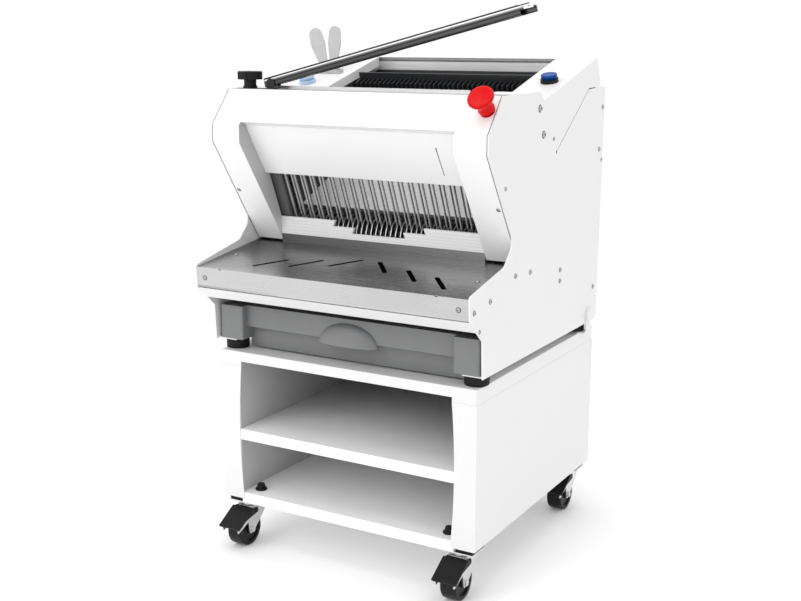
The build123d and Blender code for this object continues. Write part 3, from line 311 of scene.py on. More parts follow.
# The shelves get a lighter copy of the white powder, painted light on their tops.
shelf_painted_light_coat = powder_coat("shelf_powder_coat", 0.92, 0.34)
back_coat = powder_coat("back_powder_coat", 0.77, 0.40, back_reach)
side_coat = powder_coat("side_powder_coat", 0.77, 0.32, inner_reach)
blade_frame_coat = powder_coat("blade_frame_coat", 0.16, 0.36)
motor_coat = powder_coat("motor_coat", 0.07, 0.38)
print("powder coats:", white_coat.name, blade_frame_coat.name, motor_coat.name)

# %% [markdown]
# The stepped bars at the outlet are rolled with fine grooves along them, so that a slice slides off easily. A
# zigzag of the height, cut near its lower tips, marks narrow grooves, and the bump follows them. The grooves
# are painted darker than the bars, as painted shade.


# %% Grooved white bars
def grooved_coat(grooves_per_metre):
    """White powder over rolled grooves that run across the machine, with painted shade in each groove."""
    coat = Finish("grooved_white_coat")
    cloud = coat.noise(9.0, 2.0)
    height = coat.along("Z") * grooves_per_metre
    groove = coat.node("ShaderNodeMath", {"operation": "PINGPONG"}, [height, 0.5])
    edge = coat.node("ShaderNodeMath", {"operation": "GREATER_THAN"}, [groove, 0.06])
    # Painted shade: the bottom of each groove is painted darker than the bar.
    colour = coat.mix(edge, grey(0.66), grey(0.80))
    return coat.shade(Base_Color=colour, Roughness=cloud * 0.1 + 0.34, Normal=coat.bump(edge, 0.35, 0.0004))


groove_count = 150.0
grooved_white = grooved_coat(groove_count)
print("grooves every", round(1000 / groove_count, 2), "mm")

# %% [markdown]
# ## Brushed steel
# The tray, the hopper lining and the press bar are stainless steel, ground with a belt so that fine lines run
# one way. Noise drawn out along one axis makes such lines. They change the roughness and tilt the surface a
# little, which spreads each highlight across the lines, as on the real sheet. A steel mirror also takes the
# tone of what it faces: the tray darkens towards the blades, the chute lightens away from them, and the
# lining is light only along its rim. A second ramp along the machine paints that change of tone into each
# sheet's colour, as painted reflection and painted shade.


# %% Brushed stainless steel
def brushed(name, tone, rough, axis, strength=0.10, reach=None, cloud_depth=0.3, metal=1.0, cloud_size=6.0):
    """Belt-ground steel. reach gives a place as a node value, and the tones of painted reflection and shade
    along it.
    """
    steel = Finish(name)
    scale = [900.0, 900.0, 900.0]
    scale["XYZ".index(axis)] = 9.0
    lines = steel.noise(1.0, 3.0, 0.6, steel.stretched(scale))
    cloud = steel.noise(cloud_size, 3.0)
    shade = lines * (1 - cloud_depth) + cloud * cloud_depth
    colour = steel.ramp(shade, (0.25, grey(tone * 0.78)), (0.75, grey(min(tone * 1.18, 1.0))))
    if reach:
        place, stops = reach(steel)
        # The ramp multiplies painted reflection and painted shade into the steel's colour.
        colour = steel.mix(1.0, colour, steel.ramp(place, *stops), "MULTIPLY")
    gloss = lines * 0.16 + cloud * 0.08 + (rough - 0.12)
    return steel.shade(Base_Color=colour, Metallic=metal, Roughness=gloss,
                       Normal=steel.bump(lines, strength, 0.0003))


def tray_reach(steel):
    """Painted reflection, lip to blades: the lip has its own tone, and the sheet darkens to the blades and
    lightens to the right.
    """
    lip, length, left = -0.372, 0.23, -0.3
    base = (steel.along("Y") - lip) / length
    sheet = base.sum("GREATER_THAN", base, 0.027)
    place = base.sum("MAXIMUM", base + 0.20 - (steel.along("X") - left) * 0.95, 0.035) * sheet
    return place, tones((0.0, 0.76), (0.01, 0.76), (0.03, 0.80), (0.15, 0.60), (0.30, 0.46), (0.50, 0.39),
                        (1.0, 0.20))


def bar_reach(steel):
    """Painted reflection across the press bar, up to its lips: a dark web, and a painted highlight on the
    fold under the lips.
    """
    middle, height = 0.001, 0.02
    pin = bar_pivot.z * math.cos(bar_rise) - bar_pivot.x * math.sin(bar_rise)
    above = steel.along("Z") * math.cos(bar_rise) - steel.along("X") * math.sin(bar_rise) - (pin + middle)
    return above / height + 0.5, tones((0.0, 0.03), (0.08, 0.05), (0.14, 0.09), (0.32, 0.10), (0.40, 0.04),
                                       (0.48, 0.05), (0.55, 0.16), (0.66, 0.36), (0.69, 1.0), (0.77, 1.0),
                                       (0.79, 0.04), (1.0, 0.03))


def bracket_reach(steel):
    """The pivot bracket from front to rear: its front ear is painted dark, as the bar's reflection."""
    depth = 0.04
    place = (steel.along("Y") - bar_pivot.y) / depth + 0.5
    return place, tones((0.0, 0.10), (0.27, 0.10), (0.30, 1.0), (1.0, 1.0))


def blade_reach(start):
    """Painted shade and highlight across a set of blades, from a start ahead of their plane: dark, with a
    bright front strip.
    """
    plane = blade_origin.y * math.cos(blade_lean) + blade_origin.z * math.sin(blade_lean)
    width = 0.01

    def reach(steel):
        ahead = plane - steel.along("Y") * math.cos(blade_lean) - steel.along("Z") * math.sin(blade_lean)
        return (ahead - start) / width, tones((0.0, 0.13), (0.58, 0.20), (0.66, 1.0), (1.0, 1.0))

    return reach


def wire_reach(steel):
    """Painted shade down a comb wire: dim in the depth of the hopper, bright at its foot."""
    top, length = 0.7265, 0.03
    place = (top - steel.along("Z")) / length
    return place, tones((0.0, 0.16), (0.25, 0.35), (0.65, 1.0), (1.0, 1.0))


def chute_reach(steel):
    """Painted shade from the blades up the slope to the pusher: black by the blades, light further up."""
    blades, length = -0.125, 0.25
    place = (steel.along("Y") - blades) / length
    return place, tones((0.0, 0.02), (0.055, 0.02), (0.065, 0.80), (0.30, 0.90), (0.5, 1.0))


def lining_reach(steel):
    """Painted shade by depth below the hood's sloping top: light along the rim, and dark further down."""
    slope = (hood_high.z - hood_low.z) / (hood_high.y - hood_low.y)
    top_at_middle = hood_low.z - hood_low.y * slope
    depth = steel.along("Y") * slope + top_at_middle - steel.along("Z")
    return depth / 0.1, tones((0.0, 1.0), (0.285, 0.92), (0.30, 0.10), (1.0, 0.06))


tray_steel = brushed("tray_steel", 0.68, 0.28, "X", 0.07, tray_reach, cloud_depth=0.70, cloud_size=2.6)
chute_steel = brushed("chute_steel", 0.86, 0.40, "Y", 0.08, chute_reach, metal=0.35)
lining_steel = brushed("lining_steel", 0.62, 0.34, "X", 0.10, lining_reach)
bar_steel = brushed("bar_steel", 0.92, 0.26, "X", 0.08, bar_reach)
# Near-black steel for the rods along the press bar's lips, as painted shade.
dark_lip = brushed("dark_lip", 0.07, 0.24, "X", 0.05)
bracket_steel = brushed("bracket_steel", 0.40, 0.30, "X", 0.10, bracket_reach)
front_blade_steel = brushed("front_blade_steel", 0.90, 0.36, "Z", 0.05, blade_reach(-0.003), metal=0.45)
rear_blade_steel = brushed("rear_blade_steel", 0.90, 0.36, "Z", 0.05, blade_reach(-0.0075), metal=0.45)
wire_steel = brushed("wire_steel", 0.90, 0.26, "Z", 0.05, wire_reach, metal=0.6)
ledge_steel = brushed("ledge_steel", 0.42, 0.24, "X", 0.08, cloud_depth=0.6, cloud_size=3.0)
guide_steel = brushed("guide_steel", 0.17, 0.36, "Z", 0.12, cloud_depth=0.6)
comb_steel = brushed("comb_steel", 0.20, 0.34, "Z")
print("steels:", tray_steel.name, lining_steel.name, bar_steel.name, front_blade_steel.name)

# %% [markdown]
# ## Zinc, plastics and rubber
# The caster forks are zinc plated, which shows a faint pattern of crystals. The drawer is a grey moulding
# with a fine spark-eroded grain, the wheels and feet are plain black, and the buttons are glossy.


# %% Zinc plating
def zinc(name, tone, rough):
    """A plated or cast metal: faint crystals under a soft cloud."""
    plate = Finish(name)
    crystals = plate.node("ShaderNodeTexVoronoi", {}, {"Vector": plate.place, "Scale": 260.0}, out="Distance")
    cloud = plate.noise(40.0, 3.0)
    colour = plate.ramp(crystals * 0.5 + cloud * 0.5, (0.1, grey(tone * 0.82)), (0.7, grey(tone)))
    return plate.shade(Base_Color=colour, Metallic=1.0, Roughness=cloud * 0.16 + rough,
                       Normal=plate.bump(cloud, 0.05, 0.0004))


zinc_plate = zinc("zinc_plate", 0.74, 0.24)
screw_zinc = zinc("screw_zinc", 0.46, 0.26)
dark_iron = zinc("dark_iron", 0.22, 0.42)
print("platings ready")

# %% [markdown]
# Plastic and rubber differ only in colour, gloss and grain, so one function makes them all.


# %% Moulded plastics and rubber
def moulded(name, colour, rough, grain, size, shine=0.5):
    """A moulded plastic or rubber. grain is the bump's strength, and size the noise's scale."""
    plastic = Finish(name)
    grains = plastic.noise(size, 2.0, 0.6)
    cloud = plastic.noise(12.0, 3.0)
    dark = tuple(part * 0.90 for part in colour) + (1.0,)
    light = tuple(min(part * 1.08, 1.0) for part in colour) + (1.0,)
    return plastic.shade(Base_Color=plastic.mix(cloud, dark, light), Roughness=cloud * 0.10 + rough,
                         Normal=plastic.bump(grains, grain, 0.0004), Specular_IOR_Level=shine)


drawer_grey = moulded("drawer_grey", (0.185, 0.187, 0.190), 0.44, grain=0.14, size=700.0)
black_plastic = moulded("black_plastic", (0.006, 0.006, 0.007), 0.42, grain=0.20, size=800.0, shine=0.22)
wheel_black = moulded("wheel_black", (0.005, 0.005, 0.006), 0.32, grain=0.06, size=500.0, shine=0.25)
foot_rubber = moulded("foot_rubber", (0.007, 0.007, 0.007), 0.56, grain=0.25, size=500.0, shine=0.25)
red_plastic = moulded("red_plastic", (0.62, 0.003, 0.005), 0.16, grain=0.02, size=300.0, shine=0.12)
blue_plastic = moulded("blue_plastic", (0.003, 0.055, 0.28), 0.20, grain=0.02, size=300.0, shine=0.10)
pale_blue_plastic = moulded("pale_blue_plastic", (0.42, 0.54, 0.70), 0.30, grain=0.02, size=300.0, shine=0.4)
belt_rubber = moulded("belt_rubber", (0.012, 0.012, 0.012), 0.70, grain=0.3, size=400.0)
# Near-black sheet of painted shade under the tray's slots and in the side panels' slits.
flap_black = moulded("flap_black", (0.003, 0.003, 0.003), 0.90, grain=0.1, size=400.0, shine=0.0)
# A dark grey for strips of painted shade in the cover's joints and along the deflector's slot.
seam_rubber = moulded("seam_rubber", (0.10, 0.10, 0.10), 0.60, grain=0.2, size=400.0)
# The pusher comb is painted near black, as painted shade between its fingers.
pusher_dark = moulded("pusher_dark", (0.022, 0.023, 0.025), 0.30, grain=0.05, size=600.0)
print("plastics ready")

# %% [markdown]
# The bagging paddles are frosted clear sheet. A soft grey body that lets about a quarter of the view through
# reads as that, and no light has to bend inside it.


# %% Clear plastic of the bagging paddles
def clear_paddle():
    """Frosted clear sheet: a soft grey body that is a little see-through."""
    clear = Finish("paddle_plastic")
    frost = clear.noise(500.0, 2.0)
    cloud = clear.noise(20.0, 2.0)
    return clear.shade(Base_Color=clear.mix(cloud, grey(0.46), grey(0.60)), Roughness=cloud * 0.1 + 0.28,
                       Alpha=cloud * 0.1 + 0.72, Normal=clear.bump(frost, 0.04, 0.0003))


paddle_plastic = clear_paddle()
print("materials made:", len(bpy.data.materials))

# %% [markdown]
# ## Softened edges
# A measured solid has perfectly sharp edges, and no real part does: bent sheet has a small radius, and a
# moulding has a bigger one. Such an edge catches a thin line of light. The mesh is copied, its doubled points
# are merged and its flat faces joined up, and a small bevel rounds every sharp edge. Weighted normals keep
# the large faces flat to the eye. The copy then stands for the solid.


# %% A copy with rounded edges
def settled(piece, finish, replaced=(), body=None):
    """Applies a piece's modifiers, gives it its finish and hands it to the frame."""
    view = bpy.context.evaluated_depsgraph_get()
    done = bpy.data.meshes.new_from_object(piece.evaluated_get(view), depsgraph=view)
    piece.modifiers.clear()
    piece.data = done
    done.materials.clear()
    done.materials.append(finish)
    for face in done.polygons:
        face.material_index = 0
    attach(piece, body or body_of(nodes[replaced[0]])[0])
    if replaced:
        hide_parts(*replaced)
    return piece


def placed(name, mesh):
    """An object at the origin that holds a mesh."""
    piece = bpy.data.objects.new(name, mesh)
    bpy.context.scene.collection.objects.link(piece)
    return piece


def smoothed(mesh, corner):
    """A mesh shaded smooth, apart from edges that turn by more than an angle."""
    for face in mesh.polygons:
        face.use_smooth = True
    mesh.set_sharp_from_angle(angle=math.radians(corner))
    return mesh


def rounded(piece, width, segments=2, corner=28.0):
    """Adds a bevel and weighted normals, and marks the corners that stay sharp."""
    smoothed(piece.data, corner + 4)
    bevel = piece.modifiers.new("edge", "BEVEL")
    bevel.width = width
    bevel.segments = segments
    bevel.limit_method = "ANGLE"
    bevel.angle_limit = math.radians(corner)
    weigh = piece.modifiers.new("flat", "WEIGHTED_NORMAL")
    weigh.keep_sharp = True
    weigh.weight = 90
    return piece


def softened(node, finish, width, segments=2, part="skin", only=None):
    """A copy of a solid, or of the part of it that only picks, with its sharp edges bevelled."""
    mesh = nodes[node].data.copy()
    work = bmesh.new()
    work.from_mesh(mesh)
    bmesh.ops.remove_doubles(work, verts=work.verts, dist=0.00003)
    if only:
        bmesh.ops.delete(work, geom=[point for point in work.verts if not only(point.co)], context="VERTS")
    bmesh.ops.dissolve_limit(work, angle_limit=math.radians(0.6), verts=work.verts, edges=work.edges)
    work.to_mesh(mesh)
    work.free()
    return settled(rounded(placed(node + "_" + part, mesh), width, segments), finish, [node])


def dressed(node, finish):
    """Gives a solid a finish as it is."""
    for place in nodes[node].material_slots:
        place.material = finish


print("edge helpers ready")

# %% [markdown]
# ## The stand
# The stand is bent and welded sheet: a lid, two boxed sides with curved inner edges, a back sheet and two
# shelves. The bends have a radius near a millimetre, and the baked powder rounds them further.

# %% Stand with rounded bends
# The sides and the back sheet carry painted shade on their faces that look into the shelves, and the shelves
# have a lighter copy of the white powder, painted light.
for name, coat in (("stand_top", white_coat), ("stand_side_left", side_coat), ("stand_side_right", side_coat),
                   ("stand_back", back_coat), ("middle_shelf", shelf_painted_light_coat), ("bottom_shelf", shelf_painted_light_coat)):
    made = softened(name, coat, 0.0008)
    print(name, len(made.data.polygons), "faces")

# %% [markdown]
# ## The housing
# Panels, hood boxes and crossbar share the stand's white powder, and the cover and the deflector have a
# lighter one, painted light for the light thrown up onto their downward faces. The tray, the lining and the
# chute are bare brushed steel, with a thinner edge than the painted sheets.

# %% Housing sheets
for name in ("side_panel_left", "side_panel_right", "hood_left", "hood_right", "rear_panel", "front_crossbar",
             "floor_plate", "stand_brackets"):
    softened(name, white_coat, 0.0005)
softened("front_cover", cover_painted_light_coat, 0.0005)
softened("deflector_panel", deflector_painted_light_coat, 0.0005)
softened("outlet_bars", grooved_white, 0.0005)
for name, steel in (("outlet_tray", tray_steel), ("infeed_lining", lining_steel),
                    ("chute_floor", chute_steel)):
    softened(name, steel, 0.0003)
print("housing sheets done")

# %% [markdown]
# ## Mouldings and turned pieces
# The drawer is one thick moulding, so its edges are the roundest. The feet, the knob and the pedals come
# next, and the other pieces have only a broken edge. Each button's collar has a finish of its own, so the
# collars are picked apart by their place.

# %% Moulded, cast and turned pieces
for name, finish, width, segments in (
    ("crumb_drawer", drawer_grey, 0.0020, 3), ("machine_feet", foot_rubber, 0.0010, 2),
    ("caster_mounts", black_plastic, 0.0010, 2),
    ("press_bar", bar_steel, 0.0003, 1), ("press_bar_brackets", bracket_steel, 0.0004, 1),
    ("bagging_paddles", paddle_plastic, 0.0006, 2), ("start_button", blue_plastic, 0.0006, 2),
    ("stop_button", pale_blue_plastic, 0.0006, 2), ("star_knob", black_plastic, 0.0010, 2),
    ("cable_gland", black_plastic, 0.0006, 2), ("caster_plates", zinc_plate, 0.0006, 2),
    ("pusher_comb", pusher_dark, 0.0005, 1), ("front_blade_frame", blade_frame_coat, 0.0006, 1),
    ("rear_blade_frame", blade_frame_coat, 0.0006, 1), ("frame_guides", guide_steel, 0.0005, 1),
):
    softened(name, finish, width, segments)
behind_cover = -0.2
for part, finish, width, only in (
    ("upper", black_plastic, 0.0006, lambda place: place.y > behind_cover and place.x > 0),
    ("pale", pale_blue_plastic, 0.0006, lambda place: place.y > behind_cover and place.x < 0),
    ("lower", red_plastic, 0.0004, lambda place: place.y < behind_cover),
):
    softened("button_collars", finish, width, part=part, only=only)
for corner in ("front_left", "front_right", "rear_left", "rear_right"):
    softened("caster_fork_" + corner, zinc_plate, 0.0005)
    softened("caster_wheel_" + corner, wheel_black, 0.0006)
    softened("caster_pedal_" + corner, black_plastic, 0.0009)
print("mouldings done")

# %% [markdown]
# The comb's plates and the drive are seen only through gaps or not at all. Rounding their edges would cost
# faces that no one sees, so the solids themselves get a finish.

# %% Comb and drive pieces
for name, finish in (
    ("outlet_comb", comb_steel), ("motor", motor_coat), ("motor_pulley", dark_iron),
    ("drive_belt", belt_rubber), ("crankshaft", dark_iron), ("shaft_bearings", dark_iron),
    ("connecting_rod_front", dark_iron), ("connecting_rod_rear", dark_iron),
):
    dressed(name, finish)
print("inside pieces dressed")

# %% [markdown]
# ## Repeated pieces
# Screws, blades and comb wires repeat, so each is made once and a Geometry Nodes tree sets copies of it on
# points. The points are a plain mesh, and a stored direction on each point turns its copy. The tree has named
# inputs, and its result is turned into a plain mesh at the end.


# %% A tree that sets copies on points
class Spread(Sheet):
    """A Geometry Nodes tree that sets one pattern piece on every point."""

    def __init__(self, name, pattern, finish, size=1.0, turned=False):
        super().__init__(bpy.data.node_groups.new(name, "GeometryNodeTree"))
        face = self.tree.interface
        face.new_socket("Geometry", in_out="INPUT", socket_type="NodeSocketGeometry")
        self.size = face.new_socket("Size", in_out="INPUT", socket_type="NodeSocketFloat")
        self.size.default_value = size
        face.new_socket("Geometry", in_out="OUTPUT", socket_type="NodeSocketGeometry")
        given = self.tree.nodes.new("NodeGroupInput")
        points, scale = (Val(self, given.outputs[place]) for place in (0, 1))
        picked = {"Object": pattern, "As Instance": True}
        source = self.node("GeometryNodeObjectInfo", {}, picked, out="Geometry")
        values = {"Points": points, "Instance": source, "Scale": scale}
        if turned:
            stored = {"data_type": "FLOAT_VECTOR"}
            facing = {"Vector": self.node("GeometryNodeInputNamedAttribute", stored, ["facing"])}
            values["Rotation"] = self.node("FunctionNodeAlignRotationToVector", {"axis": "Z"}, facing)
        copies = self.node("GeometryNodeInstanceOnPoints", {}, values)
        plain = self.node("GeometryNodeRealizeInstances", {}, [copies])
        painted = self.node("GeometryNodeSetMaterial", {}, {"Geometry": plain, "Material": finish})
        self.tree.links.new(painted.socket, self.tree.nodes.new("NodeGroupOutput").inputs[0])

    def set_on(self, name, spots, directions=None):
        """An object whose points carry the copies."""
        mesh = bpy.data.meshes.new(name)
        mesh.from_pydata(spots, [], [])
        if directions:
            facing = mesh.attributes.new("facing", "FLOAT_VECTOR", "POINT")
            facing.data.foreach_set("vector", [part for way in directions for part in way])
        piece = placed(name, mesh)
        setting = piece.modifiers.new("copies", "NODES")
        setting.node_group = self.tree
        setting[self.size.identifier] = self.size.default_value
        return piece


def tube_faces(rows, steps, inward=False):
    """The faces of a closed tube whose points come row by row. inward makes them look inwards."""
    faces = []
    for row in range(rows - 1):
        for step in range(steps):
            after = (step + 1) % steps
            a, b = row * steps, (row + 1) * steps
            across, along = (b + step, a + after) if inward else (a + after, b + step)
            faces.append((a + step, across, b + after, along))
    first, last = tuple(range(steps)), tuple(range((rows - 1) * steps, rows * steps))
    return faces + ([first, last[::-1]] if inward else [first[::-1], last])


def circle(steps):
    """The cosine and sine of every step round a circle."""
    turns = [2 * math.pi * step / steps for step in range(steps)]
    return [(math.cos(angle), math.sin(angle)) for angle in turns]


def lathed(rings, steps):
    """A closed turned mesh about Z from (radius, height) rings, from bottom to top."""
    points = [(radius * x, radius * y, height) for radius, height in rings for x, y in circle(steps)]
    return points, tube_faces(len(rings), steps)


def swept(name, tubes):
    """A mesh of closed tubes, each given as rings of points."""
    work = bmesh.new()
    for tube in tubes:
        rings = [[work.verts.new(point) for point in ring] for ring in tube]
        for first, second in zip(rings, rings[1:]):
            for step in range(len(first)):
                after = (step + 1) % len(first)
                work.faces.new((first[step], first[after], second[after], second[step]))
        work.faces.new(list(reversed(rings[0])))
        work.faces.new(rings[-1])
    bmesh.ops.recalc_face_normals(work, faces=work.faces)
    mesh = bpy.data.meshes.new(name)
    work.to_mesh(mesh)
    work.free()
    return mesh


def pattern_piece(name, points, faces, corner):
    """A hidden object that holds one copy of a repeated piece."""
    mesh = bpy.data.meshes.new(name)
    mesh.from_pydata(points, [], faces)
    return bpy.data.objects.new(name, smoothed(mesh, corner))


print("copy helpers ready")

# %% [markdown]
# ### Screws
# The sheets are held by dome-headed socket screws. Each measured screw is a small disc. The discs are found
# as separate islands of one mesh, and the middle, the radius and the outward way of each are measured, so
# that every dome lands exactly where its disc was. A screw points out of one of only four kinds of face. The
# dome has a six-sided socket and a washer rim, and a thin black gasket lies round it.


# %% Dome-headed screws
def islands(mesh):
    """The separate pieces of a mesh, each as a list of points."""
    work = bmesh.new()
    work.from_mesh(mesh)
    bmesh.ops.remove_doubles(work, verts=work.verts, dist=0.00002)
    left = set(work.verts)
    found = []
    while left:
        group, edge = [], [left.pop()]
        while edge:
            point = edge.pop()
            group.append(point.co.copy())
            for link in point.link_edges:
                other = link.other_vert(point)
                if other in left:
                    left.remove(other)
                    edge.append(other)
        found.append(group)
    work.free()
    return found


screw_ways = {
    "side panels": Vector((1, 0, 0)),
    "pillars of the cover": Vector((0, -0.9186, -0.3952)),
    "lip of the tray": Vector((0, -0.9976, -0.0694)),
    "sheet of the tray": Vector((0, -0.1293, 0.9916)),
}


def thickness(points, way):
    """How far a group of points reaches along a direction."""
    places = [point.dot(way) for point in points]
    return max(places) - min(places)


def disc_axis(points, middle):
    """The way out of the machine along a disc's thin direction, with its radius."""
    around = [point - middle for point in points]
    way = min(screw_ways.values(), key=lambda option: thickness(around, option))
    way = way * (-1 if way.x and middle.x < 0 else 1)
    radius = max((place - way * place.dot(way)).length for place in around)
    return way, radius


spots, ways, sizes = [], [], []
for group in islands(nodes["housing_screws"].data):
    middle = sum(group, Vector()) / len(group)
    way, radius = disc_axis(group, middle)
    base = min((point - middle).dot(way) for point in group)
    spots.append(middle + way * base)
    ways.append(way)
    sizes.append(round(radius, 4))
print(len(spots), "screws, radii in mm:", sorted({round(size * 1000, 1) for size in sizes}))


def on_every_screw(name, pattern, finish):
    """One mesh with a copy of a pattern on every screw, in that screw's size and direction."""
    together = bmesh.new()
    for size in sorted(set(sizes)):
        chosen = [index for index, value in enumerate(sizes) if value == size]
        tree = Spread(name + "_" + str(round(size * 10000)), pattern, finish, size, turned=True)
        piece = tree.set_on(name + "_points", [spots[i] for i in chosen], [ways[i] for i in chosen])
        view = bpy.context.evaluated_depsgraph_get()
        together.from_mesh(bpy.data.meshes.new_from_object(piece.evaluated_get(view), depsgraph=view))
        bpy.data.objects.remove(piece)
    mesh = bpy.data.meshes.new(name)
    together.to_mesh(mesh)
    together.free()
    return mesh


# Rings of the dome and of its gasket, as shares of the screw's radius
dome = [(1.0, 0.0), (1.0, 0.10), (0.93, 0.13), (0.90, 0.22), (0.82, 0.38), (0.66, 0.52), (0.50, 0.58),
        (0.44, 0.58), (0.42, 0.50), (0.40, 0.20), (0.02, 0.16)]
gasket = [(1.0, 0.0), (1.22, 0.0), (1.22, 0.05), (1.0, 0.06)]
screw_steps = 24
socket_rows = (7, 8, 9)
socket_size = 0.92
dome_points, dome_faces = lathed(dome, screw_steps)
for row in socket_rows:
    for step in range(screw_steps):
        turn_to_flat = [math.radians(360 / screw_steps * step - 60 * side) for side in range(6)]
        six = 1 / max(math.cos(angle) for angle in turn_to_flat)
        x, y, z = dome_points[row * screw_steps + step]
        dome_points[row * screw_steps + step] = (x * six * socket_size, y * six * socket_size, z)
dome_pattern = pattern_piece("dome_pattern", dome_points, dome_faces, corner=32.0)
ring_pattern = pattern_piece("ring_pattern", *lathed(gasket, screw_steps), corner=32.0)

all_screws = on_every_screw("dome_screws", dome_pattern, screw_zinc)
settled(placed("dome_screws", all_screws), screw_zinc, ["housing_screws"])
all_rings = on_every_screw("screw_rings", ring_pattern, foot_rubber)
settled(placed("screw_rings", all_rings), foot_rubber, body="machine")
print("screw faces:", len(all_screws.polygons))

# %% [markdown]
# ### Blades
# Each blade is a strip of spring steel, 0.8 mm thick, with a scalloped cutting edge at its rear, which faces
# the loaf. A plain strip would look like a wire, so it is drawn scallop by scallop along a leaning plane. A
# point of it is given by how far it is in front of that plane and how far along the blade. The faces of the
# blades and of the comb wires look inwards, and the steel shows on both sides of a face.

# %% Scalloped blades
forward = Vector((0, -math.cos(blade_lean), -math.sin(blade_lean)))
upward = Vector((0, -math.sin(blade_lean), math.cos(blade_lean)))


def blade_place(x, ahead, up):
    """A point given across the machine, ahead of the blade plane and along the blades, in mm."""
    return Vector((x / 1000, 0, 0)) + blade_origin + forward * (ahead / 1000) + upward * (up / 1000)


def blade_strip(ahead):
    """One blade: a thin strip whose rear edge is cut in scallops 10 mm long."""
    half_width, half_thickness, half_edge, ground_width = 4.5, 0.4, 0.05, 1.6
    low_end, spacing, rows, plain_rows = -95, 2.5, 105, 3
    waves = (0.0, 0.9, 1.3, 0.9)
    root = ahead - half_width + max(waves)
    front = ahead + half_width
    points = []
    for row in range(rows):
        wave = waves[row % len(waves)] if plain_rows <= row < rows - plain_rows else 0.0
        edge = root - wave
        shoulder = edge + ground_width
        outline = ((-half_edge, edge), (-half_thickness, shoulder), (-half_thickness, front),
                   (half_thickness, front), (half_thickness, shoulder), (half_edge, edge))
        points += [blade_place(x, place, low_end + spacing * row) - blade_origin for x, place in outline]
    return points, tube_faces(rows, len(outline), inward=True)


def blade_x(index):
    """Where a blade stands across the machine, in mm, counted from the left."""
    return (index - (blade_count - 1) / 2) * blade_pitch


for first, ahead, node, steel in ((0, 2.5, "front_blades", front_blade_steel),
                                  (1, -2.5, "rear_blades", rear_blade_steel)):
    strip = pattern_piece(node + "_pattern", *blade_strip(ahead), corner=20.0)
    tree = Spread(node + "_tree", strip, steel)
    roots = [blade_place(blade_x(index), 0, 0) for index in range(first, blade_count, 2)]
    made = settled(tree.set_on(node + "_scalloped", roots), steel, [node])
    print(node, len(roots), "blades,", len(made.data.polygons), "faces")

# %% [markdown]
# ### Comb wires
# The comb's fingers are thin plates painted dark, as painted shade between them, and each has a bright round
# edge where the slices slide, a painted highlight. The edges are wires bent to the fingers' curve, one
# between every two blades and one more at each end.


# %% Bright edges of the comb
def line_ways(line):
    """The points of a line, each with the direction of the line there."""
    for index, here in enumerate(line):
        before, after = line[max(index - 1, 0)], line[min(index + 1, len(line) - 1)]
        yield here, (after - before).normalized()


def bent_wire(line, radius, steps=8):
    """A round wire along a line of points in the side view, closed at both ends."""
    across = Vector((1, 0, 0))
    points = []
    for here, way in line_ways(line):
        out = way.cross(across).normalized()
        points += [here + across * (radius * x) + out * (radius * y) for x, y in circle(steps)]
    return points, tube_faces(len(line), steps, inward=True)


def arc_points(first, middle, last, count):
    """Points on the curve that starts and ends at two points and passes a third."""
    bend = middle * 2 - (first + last) / 2
    shares = [step / (count - 1) for step in range(count)]
    return [first * (1 - t) ** 2 + bend * (2 * t * (1 - t)) + last * t * t for t in shares]


finger_rear = side_point(189.5, 287.4)
finger_top = side_point(169.4, 276.3)
finger_bend = side_point(162.9, 264.0)
finger_foot = side_point(158.6, 251.5)
wire_radius = 0.0011
finger_line = [finger_rear] + arc_points(finger_top, finger_bend, finger_foot, count=8)
wire_pattern = pattern_piece("wire_pattern", *bent_wire(finger_line, wire_radius), corner=60.0)
wire_tree = Spread("wire_tree", wire_pattern, wire_steel)
wire_spots = [Vector(((index - blade_count / 2) * blade_pitch / 1000, 0, 0))
              for index in range(blade_count + 1)]
made = settled(wire_tree.set_on("comb_wires", wire_spots), wire_steel, body="machine")
print("comb wires:", len(wire_spots), "with", len(made.data.polygons), "faces")

# %% [markdown]
# ## Emergency button
# The red head is a mushroom: a waisted neck that flares to a wide rim, with a shallow dish on top for the
# palm. It is turned from a row of rings, closed top and bottom, and set on the slanted face.


# %% Red mushroom head
def turned_piece(name, rings, steps, origin, axis, finish, replaced, corner):
    """A turned piece set with its foot at a point and its axis along a direction."""
    points, faces = lathed(rings, steps)
    mesh = bpy.data.meshes.new(name)
    spin = Vector((0, 0, 1)).rotation_difference(axis).to_matrix()
    mesh.from_pydata([spin @ Vector(point) + origin for point in points], [], faces)
    return settled(placed(name, smoothed(mesh, corner)), finish, [replaced])


face_slope = math.atan2(cover_top[1] - cover_bend[1], cover_top[0] - cover_bend[0])
face_out = Vector((0, -math.sin(face_slope), math.cos(face_slope)))
stop_along, stop_right = 57, 0.300
stop_place = side_point(cover_bend[0] + stop_along * math.cos(face_slope),
                        cover_bend[1] + stop_along * math.sin(face_slope)) + Vector((stop_right, 0, 0))
mushroom = [(0.0105, -0.003), (0.0105, 0.007), (0.0160, 0.007), (0.0165, 0.009), (0.0160, 0.012),
            (0.0142, 0.017), (0.0138, 0.021), (0.0148, 0.025), (0.0178, 0.030), (0.0222, 0.0345),
            (0.0252, 0.0375), (0.0260, 0.0400), (0.0258, 0.0420), (0.0246, 0.0440), (0.0230, 0.0448),
            (0.0205, 0.0446), (0.0160, 0.0432), (0.0100, 0.0420), (0.0050, 0.0415), (0.0008, 0.0414)]
head = turned_piece("mushroom_head", mushroom, 48, stop_place, face_out, red_plastic, "emergency_button",
                    corner=50.0)
print("mushroom head:", len(head.data.polygons), "faces")

# %% [markdown]
# ## Press bar lips
# The bar is a channel whose two upper lips are rolled over. The roll lies in shadow beside the bright fold
# under it, so each lip gets a thin dark rod of painted shade that follows it, and the fold, a painted
# highlight, then reads as one light line.

